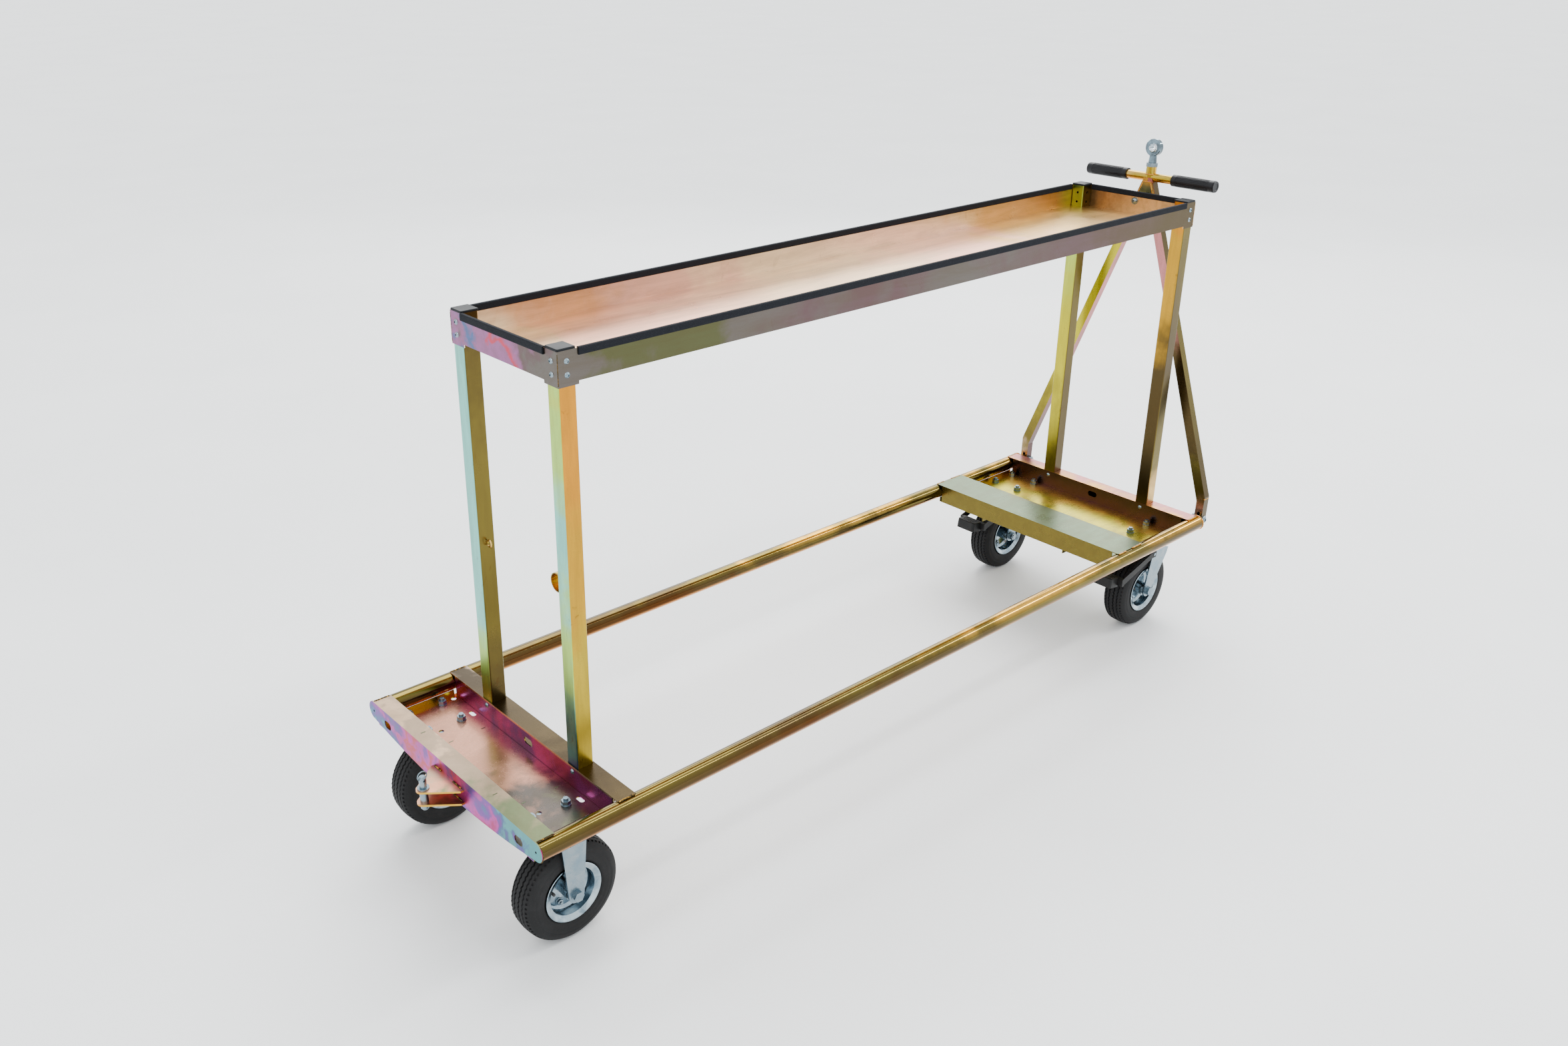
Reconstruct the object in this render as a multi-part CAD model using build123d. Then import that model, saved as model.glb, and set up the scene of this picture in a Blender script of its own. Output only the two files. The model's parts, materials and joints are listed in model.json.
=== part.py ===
"""Wheel dolly: a two-rail towable rack that carries four race tyres, with a tray on top.

Millimetres, +Z up, the floor at Z = 0.  The origin is under the middle of the whole dolly.
While pieces are being made, X runs from the outer face of the clevis end wall (X = 0) to the
drawbar end, and Y = 0 is the centre plane.  save() moves each piece to the final origin.
"""
from build123d import *
import os
from math import atan, cos, degrees, hypot, pi, sin, sqrt

# ---- overall sizes ----
RAIL_LENGTH = 2100.0
RAIL_SPACING = 594.0
WHEEL_R = 105.0
TRAY_HEIGHT = 1050.0
RAIL_OD = 38.0
RAIL_WALL = 2.0
SHEET = 2.0

# ---- clevis end weldment ----
END_FLANGE = 40.0
POST_LINE_A = 178.0
WALL_DEPTH = 44.0
PAN_DROP = 26.0
LIP_OFFSET = 12.0
RETURN_LIP = 8.0
RIB_DEPTH = 10.0
RIB_TAB = 9.0
RIB_TAB_X = 22.0
RIB_TABS_A = (80.0, 154.0)
RIB_TABS_B_BACK = (204.0, 94.0)
VENT_R = 2.5
STRAP_SLOT = (26.0, 17.0)
STRAP_SLOT_IN = 56.0
STRAP_SLOT_DROP = 8.0

# ---- drawbar end weldment ----
PAN_B_LENGTH = 356.0
PAN_B_SETBACK = 8.0
INNER_FLANGE = 102.0
WALL_HOLE = (28.0, 15.0)
WALL_HOLE_DROP = 2.0
SPARE_HOLE_R = 5.5
SPARE_X_IN = 12.0
SPARE_Y_OUT = 42.0
SPARE_SLOT = (20.0, 10.0)
SPARE_SLOT_Y_IN = 34.0
THIRD_HOLE_X = 84.0
THIRD_HOLE_Y_IN = 50.0

# ---- posts and tray ----
POST = 35.0
POST_WALL = 2.0
POST_ROUND = 3.0
POST_TRACK = 338.8
POST_SCREW_RISE = 9.0
TRAY_DEPTH = 57.0
TRAY_SHEET = 1.5
TAB_DROP = 6.0
TRIM_HEIGHT = 14.0
TRIM_WIDTH = 8.0
TRIM_RISE = 3.0
TRIM_GAP = 6.0
CAP_HEIGHT = 4.0
CAP_PLUG = 14.0
SCREW_R = 3.0
SCREW_HEAD_R = 5.5
SCREW_HEAD = 3.2
TRAY_SCREW_DROPS = (19.0, 43.0)
SOCKET_X = 190.0
SOCKET_HEIGHT = 660.0
SOCKET_LENGTH = 38.0
CLIP_HEIGHT = 648.0
CLIP_R = 7.0
CLIP_WIRE_R = 1.5

# ---- castors ----
WHEEL_WIDTH = 65.0
WHEEL_CLEAR = 28.0
RIM_R = 61.0
BARREL_R = 52.0
RIM_PRESS = 2.5
HUB_R = 17.0
AXLE_R = 6.0
AXLE_HEAD_AF = 19.0
CASTOR_Y_IN = 70.0
CASTOR_X_A = 99.0
CASTOR_B_INSET = 54.0
RIB_Y_IN = 95.0
CASTOR_TRAIL = 49.0
BOLT_X = 76.0
BOLT_Y = 78.0
CASTOR_BOLT_R = 5.0
CASTOR_BOLT_AF = 16.0
PLATE_X = 108.0
PLATE_Y = 110.0
PLATE_THICK = 4.0
FORK_ROOM = 3.5
FORK_THICK = 4.0
FORK_END_R = 17.0
FORK_TOP_A = 54.0
RACE_R = 33.0
RACE_HEIGHT = 6.0
HEAD_R = 31.0
HEAD_HEIGHT = 9.0
WEB_BACK = 50.0
WEB_FRONT = 34.0
EAR = 20.0
ARM_SET_BACK = 4.0
ARM_TOP_B = 68.0
KINGPIN_R = 7.0
PEDAL_PIVOT_R = 4.0
PEDAL_ARM = 3.0
PEDAL_PIVOT_BACK = 42.0
PEDAL_PIVOT_DROP = 8.0
PEDAL_REACH = 140.0
PEDAL_DROP = 40.0
PEDAL_BRIDGE = 20.0
PEDAL_PAD = 42.0
PEDAL_PAD_WIDTH = 58.0
PEDAL_PAD_THICK = 26.0
PEDAL_TILT = 10.0
PEDAL_GROOVES = 4

# ---- tow clevis ----
PIN_R = 8.0
PIN_REACH = 53.5
CLEVIS_NOSE_R = 14.0
CLEVIS_BASE = 108.0
CLEVIS_THICK = 4.0
CLEVIS_GAP = 24.0
CLEVIS_DROP = 3.0

# ---- drawbar ----
HINGE_REACH = 28.0
HINGE_R = 6.0
LUG_THICK = 8.0
LUG_R = 14.0
LUG_CAP = 3.0
LEG = 22.0
LEG_WALL = 2.0
LEG_Y_IN = 8.5
KINK_HEIGHT = 58.0
HANDLE_OVER_TRAY = 88.0
LEAN = 1.35
HANDLE_LENGTH = 366.0
HANDLE_OD = 22.0
HANDLE_WALL = 2.0
GRIP_OD = 30.0
GRIP_LENGTH = 120.0
GRIP_END = 4.0
BOSS_OD = 26.0
BOSS_RISE = 27.0
NUT_AF = 28.0
NUT_HEIGHT = 10.0
EYE_RISE = 75.0
EYE_OD = 44.0
EYE_WIDTH = 15.0
BALL_R = 14.3
BALL_WIDTH = 21.0
EYE_BORE_R = 8.1
STUD_R = 9.0
GUSSET = 3.0
GUSSET_HEIGHT = 66.0
LATCH_OVER_TRAY = 34.0
MAGNET_R = 15.0
MAGNET = 12.0
SPACER_R = 9.0
LATCH_WASHER_R = 9.5

# ---- fits ----
RUNNING = 0.06
CLEAR = 0.4
TOUCH = 0.05

# ---- derived places ----
RAIL_HEIGHT = 2 * WHEEL_R + WHEEL_CLEAR + PLATE_THICK + SHEET + PAN_DROP
RAIL_Y = RAIL_SPACING / 2
RAIL_R = RAIL_OD / 2
LIP_HEIGHT = PAN_DROP - sqrt(RAIL_R ** 2 - LIP_OFFSET ** 2) - 4 * TOUCH
POST_FLANGE = POST + 5
TAB_WIDTH = POST + 7
PAN_B_END = RAIL_LENGTH - PAN_B_SETBACK
BAY_END = PAN_B_END - PAN_B_LENGTH
POST_LINE_B = PAN_B_END - POST_FLANGE
CASTOR_X_B = POST_LINE_B - CASTOR_B_INSET
CASTOR_Y = RAIL_Y - CASTOR_Y_IN
RIB_Y = CASTOR_Y - RIB_Y_IN
RIB_TABS_B = [PAN_B_END - back for back in RIB_TABS_B_BACK]
FORK_GAP = WHEEL_WIDTH + 2 * FORK_ROOM
HINGE_X = RAIL_LENGTH + HINGE_REACH
LEG_Y = RAIL_Y - LEG_Y_IN
HANDLE_HEIGHT = TRAY_HEIGHT + HANDLE_OVER_TRAY - RAIL_HEIGHT
BOSS_TOP = HANDLE_HEIGHT + BOSS_RISE
EYE_HEIGHT = HANDLE_HEIGHT + EYE_RISE
LATCH_HEIGHT = TRAY_HEIGHT + LATCH_OVER_TRAY
CAP_RISE = SHEET / 2
WALL_END_R = RAIL_R + CAP_RISE
TOP = RAIL_HEIGHT + RAIL_R + SHEET
FLOOR_TOP = RAIL_HEIGHT - PAN_DROP
FLOOR_LOW = FLOOR_TOP - SHEET
POST_Y = (POST_TRACK - POST) / 2
POST_X_A = POST_LINE_A + SHEET + POST / 2
POST_X_B = POST_LINE_B + SHEET + POST / 2
TRAY_TOP = TRAY_HEIGHT + TRAY_DEPTH
TRAY_IN_A = POST_X_A - POST / 2 - TOUCH
TRAY_IN_B = POST_X_B + POST / 2 + TOUCH
TRAY_IN_Y = POST_TRACK / 2 + TOUCH
LIP_Y = RAIL_Y - LIP_OFFSET
PLATE_LOW = FLOOR_LOW - PLATE_THICK
WHEEL_X_B = CASTOR_X_B - CASTOR_TRAIL
HEAD_TOP = PLATE_LOW - RACE_HEIGHT - CLEAR
HEAD_LOW = HEAD_TOP - HEAD_HEIGHT
WEB_LOW = HEAD_LOW - FORK_THICK
PEDAL_PIVOT_X = CASTOR_X_B - PEDAL_PIVOT_BACK
PEDAL_PIVOT_Z = WEB_LOW - PEDAL_PIVOT_DROP
CLEVIS_TOP = RAIL_HEIGHT - CLEVIS_DROP
LEG_SLOPE = LEG_Y / (HANDLE_HEIGHT - KINK_HEIGHT)
HANDLE_X = HINGE_X + HANDLE_HEIGHT * sin(LEAN * pi / 180)
X_LOW = -(PIN_REACH + CLEVIS_NOSE_R)
X_HIGH = HANDLE_X + GRIP_OD / 2
X_MIDDLE = (X_LOW + X_HIGH) / 2


def block(x0, x1, y0, y1, z0, z1):
    """A box between two corners."""
    size = Box(x1 - x0, y1 - y0, z1 - z0)
    return Pos((x0 + x1) / 2, (y0 + y1) / 2, (z0 + z1) / 2) * size


def bar_x(r, x0, x1, y, z):
    """A round bar along X."""
    return Pos((x0 + x1) / 2, y, z) * Rot(0, 90, 0) * Cylinder(r, x1 - x0)


def bar_y(r, y0, y1, x, z):
    """A round bar along Y."""
    return Pos(x, (y0 + y1) / 2, z) * Rot(90, 0, 0) * Cylinder(r, y1 - y0)


def bar_z(r, z0, z1, x, y):
    """A round bar along Z."""
    return Pos(x, y, (z0 + z1) / 2) * Cylinder(r, z1 - z0)


def hexagon(af, height):
    """A hexagonal prism on Z, from its base up."""
    return extrude(RegularPolygon(af / 2, 6, major_radius=False), height)


def square_tube(side, wall, radius, length):
    """A rounded square tube along Z, from its base up."""
    outer = RectangleRounded(side, side, radius)
    inner = RectangleRounded(side - 2 * wall, side - 2 * wall, max(radius - wall, 0.8))
    return extrude(outer - inner, length)


def mirrored(shape):
    """The copy on the other side of the centre plane."""
    return mirror(shape, Plane.XZ)


def both(shape):
    """A piece and its mirror copy, as separate solids."""
    return [shape, mirrored(shape)]


def dome_screw(r, head_r, head, length):
    """A button-head screw on Z: the head's flat underside at Z = 0, the shank below it."""
    ball_r = (head_r ** 2 + head ** 2) / (2 * head)
    dome = Pos(0, 0, head - ball_r) * Sphere(ball_r) & bar_z(head_r, 0, head, 0, 0)
    socket = Pos(0, 0, head * 0.4) * hexagon(head_r * 0.72, head)
    return dome + bar_z(r, -length, 0.2, 0, 0) - socket


def save(name, *pieces):
    """Write one node as its separate solids, moved to the final origin."""
    solids = [solid for piece in pieces for solid in piece.solids()]
    node = Pos(-X_MIDDLE, 0, 0) * Compound(children=solids)
    export_step(node, f"parts/{name}.step")


# ---------------------------------------------------------------- frame
def rail():
    """One round rail of the +Y side."""
    tube = bar_x(RAIL_R, SHEET + TOUCH, RAIL_LENGTH, RAIL_Y, RAIL_HEIGHT)
    return tube - bar_x(RAIL_R - RAIL_WALL, 0, RAIL_LENGTH + 1, RAIL_Y, RAIL_HEIGHT)


def boat_face(half, end_r, depth):
    """Outline of an end wall in its own plane: round ends, flat top, curved belly."""
    top = end_r
    with BuildSketch() as outline:
        with BuildLine():
            Line((-half, top), (half, top))
            ThreePointArc((half, top), (half + end_r, 0), (half, -end_r))
            ThreePointArc((half, -end_r), (0, -depth), (-half, -end_r))
            ThreePointArc((-half, -end_r), (-half - end_r, 0), (-half, top))
        make_face()
    return outline.sketch


def end_wall_a():
    """Clevis end wall: boat-shaped plate that caps both rails, with its top flange."""
    face = Pos(0, CAP_RISE) * boat_face(RAIL_Y, WALL_END_R, WALL_DEPTH + CAP_RISE)
    slot = RectangleRounded(STRAP_SLOT[0], STRAP_SLOT[1], STRAP_SLOT[1] / 2 - 0.5)
    for side in (-1, 1):
        face -= Pos(side * (RAIL_Y - STRAP_SLOT_IN), -STRAP_SLOT_DROP) * slot
        face -= Pos(side * RAIL_Y, 0) * Circle(VENT_R)
    wall = Plane.YZ * extrude(face, SHEET)
    wall = Pos(0, 0, RAIL_HEIGHT) * wall
    room = block(-1, SHEET + 1, -RAIL_Y - WALL_END_R - 1, RAIL_Y + WALL_END_R + 1, TOP, TOP + 9)
    flange = block(0, END_FLANGE, -RAIL_Y, RAIL_Y, TOP - SHEET + TOUCH, TOP)
    for side in (-1, 1):
        flange -= rib_slot(RIB_TAB_X, side, TOP - SHEET, TOP)
    return (wall - room) + flange


def rib_slot(x, side, z0, z1):
    """The slot that one rib tab fills."""
    long = RIB_TAB / 2 + 0.5
    wide = SHEET / 2 + 0.3
    return block(x - long, x + long, side * RIB_Y - wide, side * RIB_Y + wide, z0 - 1, z1 + 1)


def castor_holes(x_castor, r, z0, z1):
    """The four bolt holes of each castor, both sides."""
    holes = []
    for side in (-1, 1):
        for dx in (-BOLT_X / 2, BOLT_X / 2):
            for dy in (-BOLT_Y / 2, BOLT_Y / 2):
                holes.append(bar_z(r, z0, z1, x_castor + dx, side * CASTOR_Y + dy))
    return holes


def notch(x_post, z0, z1):
    """The space of both posts, with a little room."""
    half = POST / 2 + 0.2
    return [
        block(x_post - half, x_post + half, side * POST_Y - half, side * POST_Y + half, z0, z1)
        for side in (-1, 1)
    ]


def lips(x0, x1):
    """Upturned ends of a pan floor, which meet the rails from below."""
    return [
        block(x0, x1, LIP_Y - SHEET, LIP_Y, FLOOR_TOP - 0.1, FLOOR_TOP + LIP_HEIGHT - TOUCH),
        block(x0, x1, -LIP_Y, -LIP_Y + SHEET, FLOOR_TOP - 0.1, FLOOR_TOP + LIP_HEIGHT - TOUCH),
    ]


def post_wall(x, x_post):
    """Upright wall in front of a pair of posts, with its top flange, holes and notches."""
    y_in = RAIL_Y - RAIL_R - TOUCH
    wall = block(x, x + SHEET, -y_in, y_in, FLOOR_TOP - 0.1, TOP - 0.1)
    hole = RectangleRounded(WALL_HOLE[0], WALL_HOLE[1], WALL_HOLE[1] / 2 - 0.5)
    wall -= Pos(x - 1, 0, RAIL_HEIGHT - WALL_HOLE_DROP) * (Plane.YZ * extrude(hole, SHEET + 2))
    for side in (-1, 1):
        wall -= bar_x(SCREW_R + RUNNING, x - 1, x + SHEET + 1, side * POST_Y, RAIL_HEIGHT + POST_SCREW_RISE)
    flange = block(x, x + POST_FLANGE, -RAIL_Y, RAIL_Y, TOP - SHEET + TOUCH, TOP)
    for room in notch(x_post, TOP - SHEET - 1, TOP + 1):
        flange -= room
    return wall + flange


def pan_a():
    """Castor pan of the clevis end: floor, end lips, post wall and post flange."""
    x_end = POST_LINE_A + POST_FLANGE
    pan = block(SHEET + TOUCH, x_end, -LIP_Y, LIP_Y, FLOOR_LOW, FLOOR_TOP)
    for lip in lips(SHEET + TOUCH, POST_LINE_A - 2):
        pan += lip
    pan += post_wall(POST_LINE_A, POST_X_A)
    pan += block(
        x_end - SHEET, x_end, -RAIL_Y + RAIL_R + 1, RAIL_Y - RAIL_R - 1, TOP - RETURN_LIP, TOP - 0.5
    )
    for hole in castor_holes(CASTOR_X_A, CASTOR_BOLT_R + 0.3, FLOOR_LOW - 1, FLOOR_TOP + 1):
        pan -= hole
    for side in (-1, 1):
        for x in RIB_TABS_A:
            pan -= rib_slot(x, side, FLOOR_LOW, FLOOR_TOP)
        riser = SHEET / 2 + 0.3
        pan -= block(
            0, END_FLANGE - 1, side * RIB_Y - riser, side * RIB_Y + riser, FLOOR_LOW - 1, FLOOR_TOP + 1
        )
        spare_x = POST_LINE_A - SPARE_X_IN
        pan -= bar_z(SPARE_HOLE_R, FLOOR_LOW - 1, FLOOR_TOP + 1, spare_x, side * (CASTOR_Y + SPARE_Y_OUT))
        slot = extrude(SlotOverall(*SPARE_SLOT, rotation=90), SHEET + 2)
        pan -= Pos(spare_x, side * (CASTOR_Y - SPARE_SLOT_Y_IN), FLOOR_LOW - 1) * slot
        third_y = side * (CASTOR_Y - THIRD_HOLE_Y_IN)
        pan -= bar_z(SPARE_HOLE_R, FLOOR_LOW - 1, FLOOR_TOP + 1, THIRD_HOLE_X, third_y)
    return pan


def pan_b():
    """Castor pan of the drawbar end: bay wall, inner flange, floor, post wall, post flange."""
    y_in = RAIL_Y - RAIL_R - TOUCH
    x_open = BAY_END + INNER_FLANGE
    pan = block(BAY_END, PAN_B_END - SHEET - TOUCH, -LIP_Y, LIP_Y, FLOOR_LOW, FLOOR_TOP)
    for lip in lips(BAY_END, POST_LINE_B - 2):
        pan += lip
    pan += block(BAY_END, BAY_END + SHEET, -y_in, y_in, FLOOR_TOP - 0.1, TOP - 0.1)
    pan += block(BAY_END, x_open, -RAIL_Y, RAIL_Y, TOP - SHEET + TOUCH, TOP)
    pan += block(x_open - SHEET, x_open, -y_in, y_in, TOP - RETURN_LIP, TOP - 0.5)
    pan += post_wall(POST_LINE_B, POST_X_B)
    for hole in castor_holes(CASTOR_X_B, CASTOR_BOLT_R + 0.3, FLOOR_LOW - 1, FLOOR_TOP + 1):
        pan -= hole
    for side in (-1, 1):
        for x in RIB_TABS_B:
            pan -= rib_slot(x, side, FLOOR_LOW, FLOOR_TOP)
    return pan


def end_wall_b():
    """Drawbar end wall between the rails, under the post flange."""
    face = Pos(0, CAP_RISE) * boat_face(RAIL_Y, WALL_END_R, WALL_DEPTH + CAP_RISE)
    y_in = RAIL_Y - RAIL_R - TOUCH
    face &= Pos(0, RAIL_R - TOUCH - WALL_DEPTH) * Rectangle(2 * y_in, 2 * WALL_DEPTH)
    wall = Pos(PAN_B_END - SHEET, 0, RAIL_HEIGHT) * (Plane.YZ * extrude(face, SHEET))
    return wall


def rib(x0, x1, tabs, riser):
    """A stiffening rib under a pan floor at +Y, with tabs that show in the floor's slots."""
    y0 = RIB_Y - SHEET / 2
    y1 = RIB_Y + SHEET / 2
    plate = block(x0, x1, y0, y1, FLOOR_LOW - RIB_DEPTH, FLOOR_LOW - TOUCH)
    for x in tabs:
        plate += block(x - RIB_TAB / 2, x + RIB_TAB / 2, y0, y1, FLOOR_LOW - 1, FLOOR_TOP + 0.2)
    if riser:
        plate += block(x0, x0 + END_FLANGE - 6, y0, y1, FLOOR_LOW - 1, TOP - SHEET - TOUCH)
        plate += block(
            RIB_TAB_X - RIB_TAB / 2, RIB_TAB_X + RIB_TAB / 2, y0, y1, TOP - SHEET - 1, TOP + 0.2
        )
    return plate


def post(x, z_foot):
    """One square post of the +Y side, drilled for the tray and wall screws."""
    tube = Pos(x, POST_Y, z_foot) * square_tube(POST, POST_WALL, POST_ROUND, TRAY_TOP - z_foot)
    hole_r = SCREW_R + RUNNING
    for drop in TRAY_SCREW_DROPS:
        z = TRAY_TOP - drop
        tube -= bar_x(hole_r, x - POST, x + POST, POST_Y, z)
        tube -= bar_y(hole_r, POST_Y - POST, POST_Y + POST, x, z)
    tube -= bar_x(hole_r, x - POST, x, POST_Y, RAIL_HEIGHT + POST_SCREW_RISE)
    return tube


def post_cap(x):
    """Black plug on top of one post of the +Y side."""
    side = POST + 2 * TRAY_SHEET
    lid = extrude(RectangleRounded(side, side, POST_ROUND), CAP_HEIGHT)
    lid = chamfer(lid.faces().sort_by(Axis.Z)[-1].edges(), 1.2)
    bore = POST - 2 * POST_WALL - 2 * TOUCH
    plug = Pos(0, 0, -CAP_PLUG + 1) * extrude(RectangleRounded(bore, bore, 1.0), CAP_PLUG)
    return Pos(x, POST_Y, TRAY_TOP + TOUCH) * (lid + plug)


def post_base_screws():
    """Button-head screws through the post walls into the posts."""
    screws = []
    screw = dome_screw(SCREW_R, SCREW_HEAD_R, SCREW_HEAD, SHEET + POST_WALL + 6)
    for x in (POST_LINE_A, POST_LINE_B):
        for side in (-1, 1):
            screws.append(Pos(x, side * POST_Y, RAIL_HEIGHT + POST_SCREW_RISE) * Rot(0, -90, 0) * screw)
    return screws


# ---------------------------------------------------------------- tray
def tray():
    """Folded tray: floor, four walls, corner tabs that wrap the posts, corner notches."""
    x0 = TRAY_IN_A - TRAY_SHEET
    x1 = TRAY_IN_B + TRAY_SHEET
    y1 = TRAY_IN_Y + TRAY_SHEET
    shell = block(x0, x1, -y1, y1, TRAY_HEIGHT - TAB_DROP, TRAY_TOP)
    hollow_top = block(
        TRAY_IN_A, TRAY_IN_B, -TRAY_IN_Y, TRAY_IN_Y, TRAY_HEIGHT + TRAY_SHEET, TRAY_TOP + 1
    )
    shell -= hollow_top
    low = TRAY_HEIGHT - TAB_DROP - 1
    shell -= block(TRAY_IN_A, TRAY_IN_B, -TRAY_IN_Y, TRAY_IN_Y, low, TRAY_HEIGHT)
    shell -= block(x0 + TAB_WIDTH, x1 - TAB_WIDTH, -y1 - 1, y1 + 1, low, TRAY_HEIGHT)
    shell -= block(x0 - 1, x1 + 1, -y1 + TAB_WIDTH, y1 - TAB_WIDTH, low, TRAY_HEIGHT)
    for x in (POST_X_A, POST_X_B):
        for room in notch(x, low, TRAY_TOP + 1):
            shell -= room & block(TRAY_IN_A, TRAY_IN_B, -TRAY_IN_Y, TRAY_IN_Y, low, TRAY_TOP + 2)
    hole_r = SCREW_R + RUNNING
    for drop in TRAY_SCREW_DROPS:
        z = TRAY_TOP - drop
        for side in (-1, 1):
            shell -= bar_x(hole_r, x0 - 1, x1 + 1, side * POST_Y, z)
        for x in (POST_X_A, POST_X_B):
            shell -= bar_y(hole_r, -y1 - 1, y1 + 1, x, z)
    shell -= bar_x(SCREW_R + RUNNING, x1 - 5, x1 + 1, 0, LATCH_HEIGHT)
    return shell


def tray_screws():
    """Two button-head screws in each face of each tray corner."""
    screws = []
    screw_x = dome_screw(SCREW_R, SCREW_HEAD_R, SCREW_HEAD, TRAY_SHEET + POST_WALL + 1)
    for drop in TRAY_SCREW_DROPS:
        z = TRAY_TOP - drop
        for side in (-1, 1):
            screws.append(Pos(TRAY_IN_A - TRAY_SHEET, side * POST_Y, z) * Rot(0, -90, 0) * screw_x)
            screws.append(Pos(TRAY_IN_B + TRAY_SHEET, side * POST_Y, z) * Rot(0, 90, 0) * screw_x)
            for x in (POST_X_A, POST_X_B):
                y = side * (TRAY_IN_Y + TRAY_SHEET)
                screws.append(Pos(x, y, z) * Rot(-90 * side, 0, 0) * screw_x)
    return screws


def trim_section():
    """U-shaped rubber section: X across the sheet, Y up, the sheet's top edge at the origin."""
    outer = Pos(0, (2 * TRIM_RISE - TRIM_HEIGHT) / 2 - 1.5) * RectangleRounded(
        TRIM_WIDTH, TRIM_HEIGHT, 2.2
    )
    gap = Pos(0, -TRIM_HEIGHT / 2) * Rectangle(TRAY_SHEET + 2 * TOUCH, TRIM_HEIGHT)
    return outer - gap


def trim_long():
    """Edge trim of the +Y wall."""
    x0 = POST_X_A + POST / 2 + TRIM_GAP
    x1 = POST_X_B - POST / 2 - TRIM_GAP
    strip = extrude(Plane.YZ * trim_section(), x1 - x0)
    return Pos(x0, TRAY_IN_Y + TRAY_SHEET / 2, TRAY_TOP) * strip


def trim_short(x):
    """Edge trim of one end wall."""
    y1 = POST_Y - POST / 2 - TRAY_SHEET - 1.0
    strip = extrude(Plane.XZ * trim_section(), y1, both=True)
    return Pos(x, 0, TRAY_TOP) * strip


# ---------------------------------------------------------------- castors
def wheel_tyre():
    """Air tyre of one wheel, about the origin: crowned tread, bulged walls, bead on the rim."""
    half = WHEEL_WIDTH / 2
    bead = BARREL_R + TOUCH
    lip_y = half - 3.2
    with BuildSketch() as section:
        with BuildLine():
            Line((-lip_y, RIM_R - 0.6), (-lip_y + 3.4, bead))
            Line((-lip_y + 3.4, bead), (lip_y - 3.4, bead))
            Line((lip_y - 3.4, bead), (lip_y, RIM_R - 0.6))
            ThreePointArc((lip_y, RIM_R - 0.6), (half, WHEEL_R * 0.78), (half - 6.5, WHEEL_R - 5.5))
            ThreePointArc((half - 6.5, WHEEL_R - 5.5), (0, WHEEL_R), (6.5 - half, WHEEL_R - 5.5))
            ThreePointArc((6.5 - half, WHEEL_R - 5.5), (-half, WHEEL_R * 0.78), (-lip_y, RIM_R - 0.6))
        make_face()
    return revolve(Rot(0, 0, 90) * section.sketch, Axis.Y)


def wheel_rim():
    """Two pressed rim halves, back to back, about the origin."""
    half = WHEEL_WIDTH / 2
    lip = half - 3.0
    t = RIM_PRESS
    r = BARREL_R
    points = [
        (HUB_R + TOUCH, 0.1),
        (r - 9, 0.1),
        (r - 3, 4.0),
        (r, 9.0),
        (r, lip - 3.6),
        (RIM_R - 1, lip + 0.1),
        (RIM_R + 0.2, lip + 1.6),
        (RIM_R - 1.6, lip + 1.9),
        (r - t, lip - 3.0),
        (r - t, 9.0 + t / 2),
        (r - 4.2, 4.0 + t),
        (r - 10, t + 0.1),
        (HUB_R + TOUCH, t + 0.1),
    ]
    outline = make_face(Polyline(points, close=True))
    half_rim = revolve(outline, Axis.Y)
    return [half_rim, mirror(half_rim, Plane.XZ)]


def wheel_hub():
    """Bearing hub, about the origin: a sleeve with two seal collars, bored for the axle."""
    length = FORK_GAP / 2 - CLEAR
    sleeve = bar_y(HUB_R, -length + 6, length - 6, 0, 0)
    sleeve += bar_y(HUB_R - 5, -length, length, 0, 0)
    return sleeve - bar_y(AXLE_R + RUNNING, -FORK_GAP, FORK_GAP, 0, 0)


def axle_set():
    """Axle bolt with its head, washer and nut, about the wheel centre; head at -Y."""
    out = FORK_GAP / 2 + FORK_THICK
    bolt = bar_y(AXLE_R, -out - 3, out + 13, 0, 0)
    bolt += Pos(0, -out - 1.5, 0) * Rot(90, 0, 0) * hexagon(AXLE_HEAD_AF, 7.5)
    washer_a = bar_y(12.0, -out - 1.5, -out, 0, 0) - bar_y(AXLE_R + TOUCH, -out - 9, out, 0, 0)
    washer_b = bar_y(12.0, out, out + 1.5, 0, 0) - bar_y(AXLE_R + TOUCH, 0, out + 9, 0, 0)
    nut = Pos(0, out + 11.5, 0) * Rot(90, 0, 0) * hexagon(AXLE_HEAD_AF, 10.0)
    nut -= bar_y(AXLE_R + TOUCH, 0, out + 20, 0, 0)
    return [bolt, washer_a, washer_b, nut]


def fork_arm(x_top, z_top, width_top, x_axle):
    """One flat fork arm on the +Y side of the wheel, tapering to a round end at the axle."""
    half = width_top / 2
    r = FORK_END_R
    reach = hypot(x_top - x_axle, z_top - WHEEL_R)
    along = atan((x_axle - x_top) / (z_top - WHEEL_R))
    with BuildSketch() as side:
        with BuildLine():
            Polyline((-half, 0), (-half, -18), (-r, -reach), (r, -reach), (half, -18), (half, 0), close=True)
        make_face()
        with Locations((0, -reach)):
            Circle(r)
    arm = extrude(Rot(0, 0, degrees(along)) * side.sketch, FORK_THICK)
    arm = Pos(x_top, 0, z_top) * (Rot(90, 0, 0) * arm)
    arm &= block(x_axle - 400, x_axle + 400, -99, 99, 0, z_top)
    return Pos(0, FORK_GAP / 2 + FORK_THICK, 0) * arm


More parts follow.
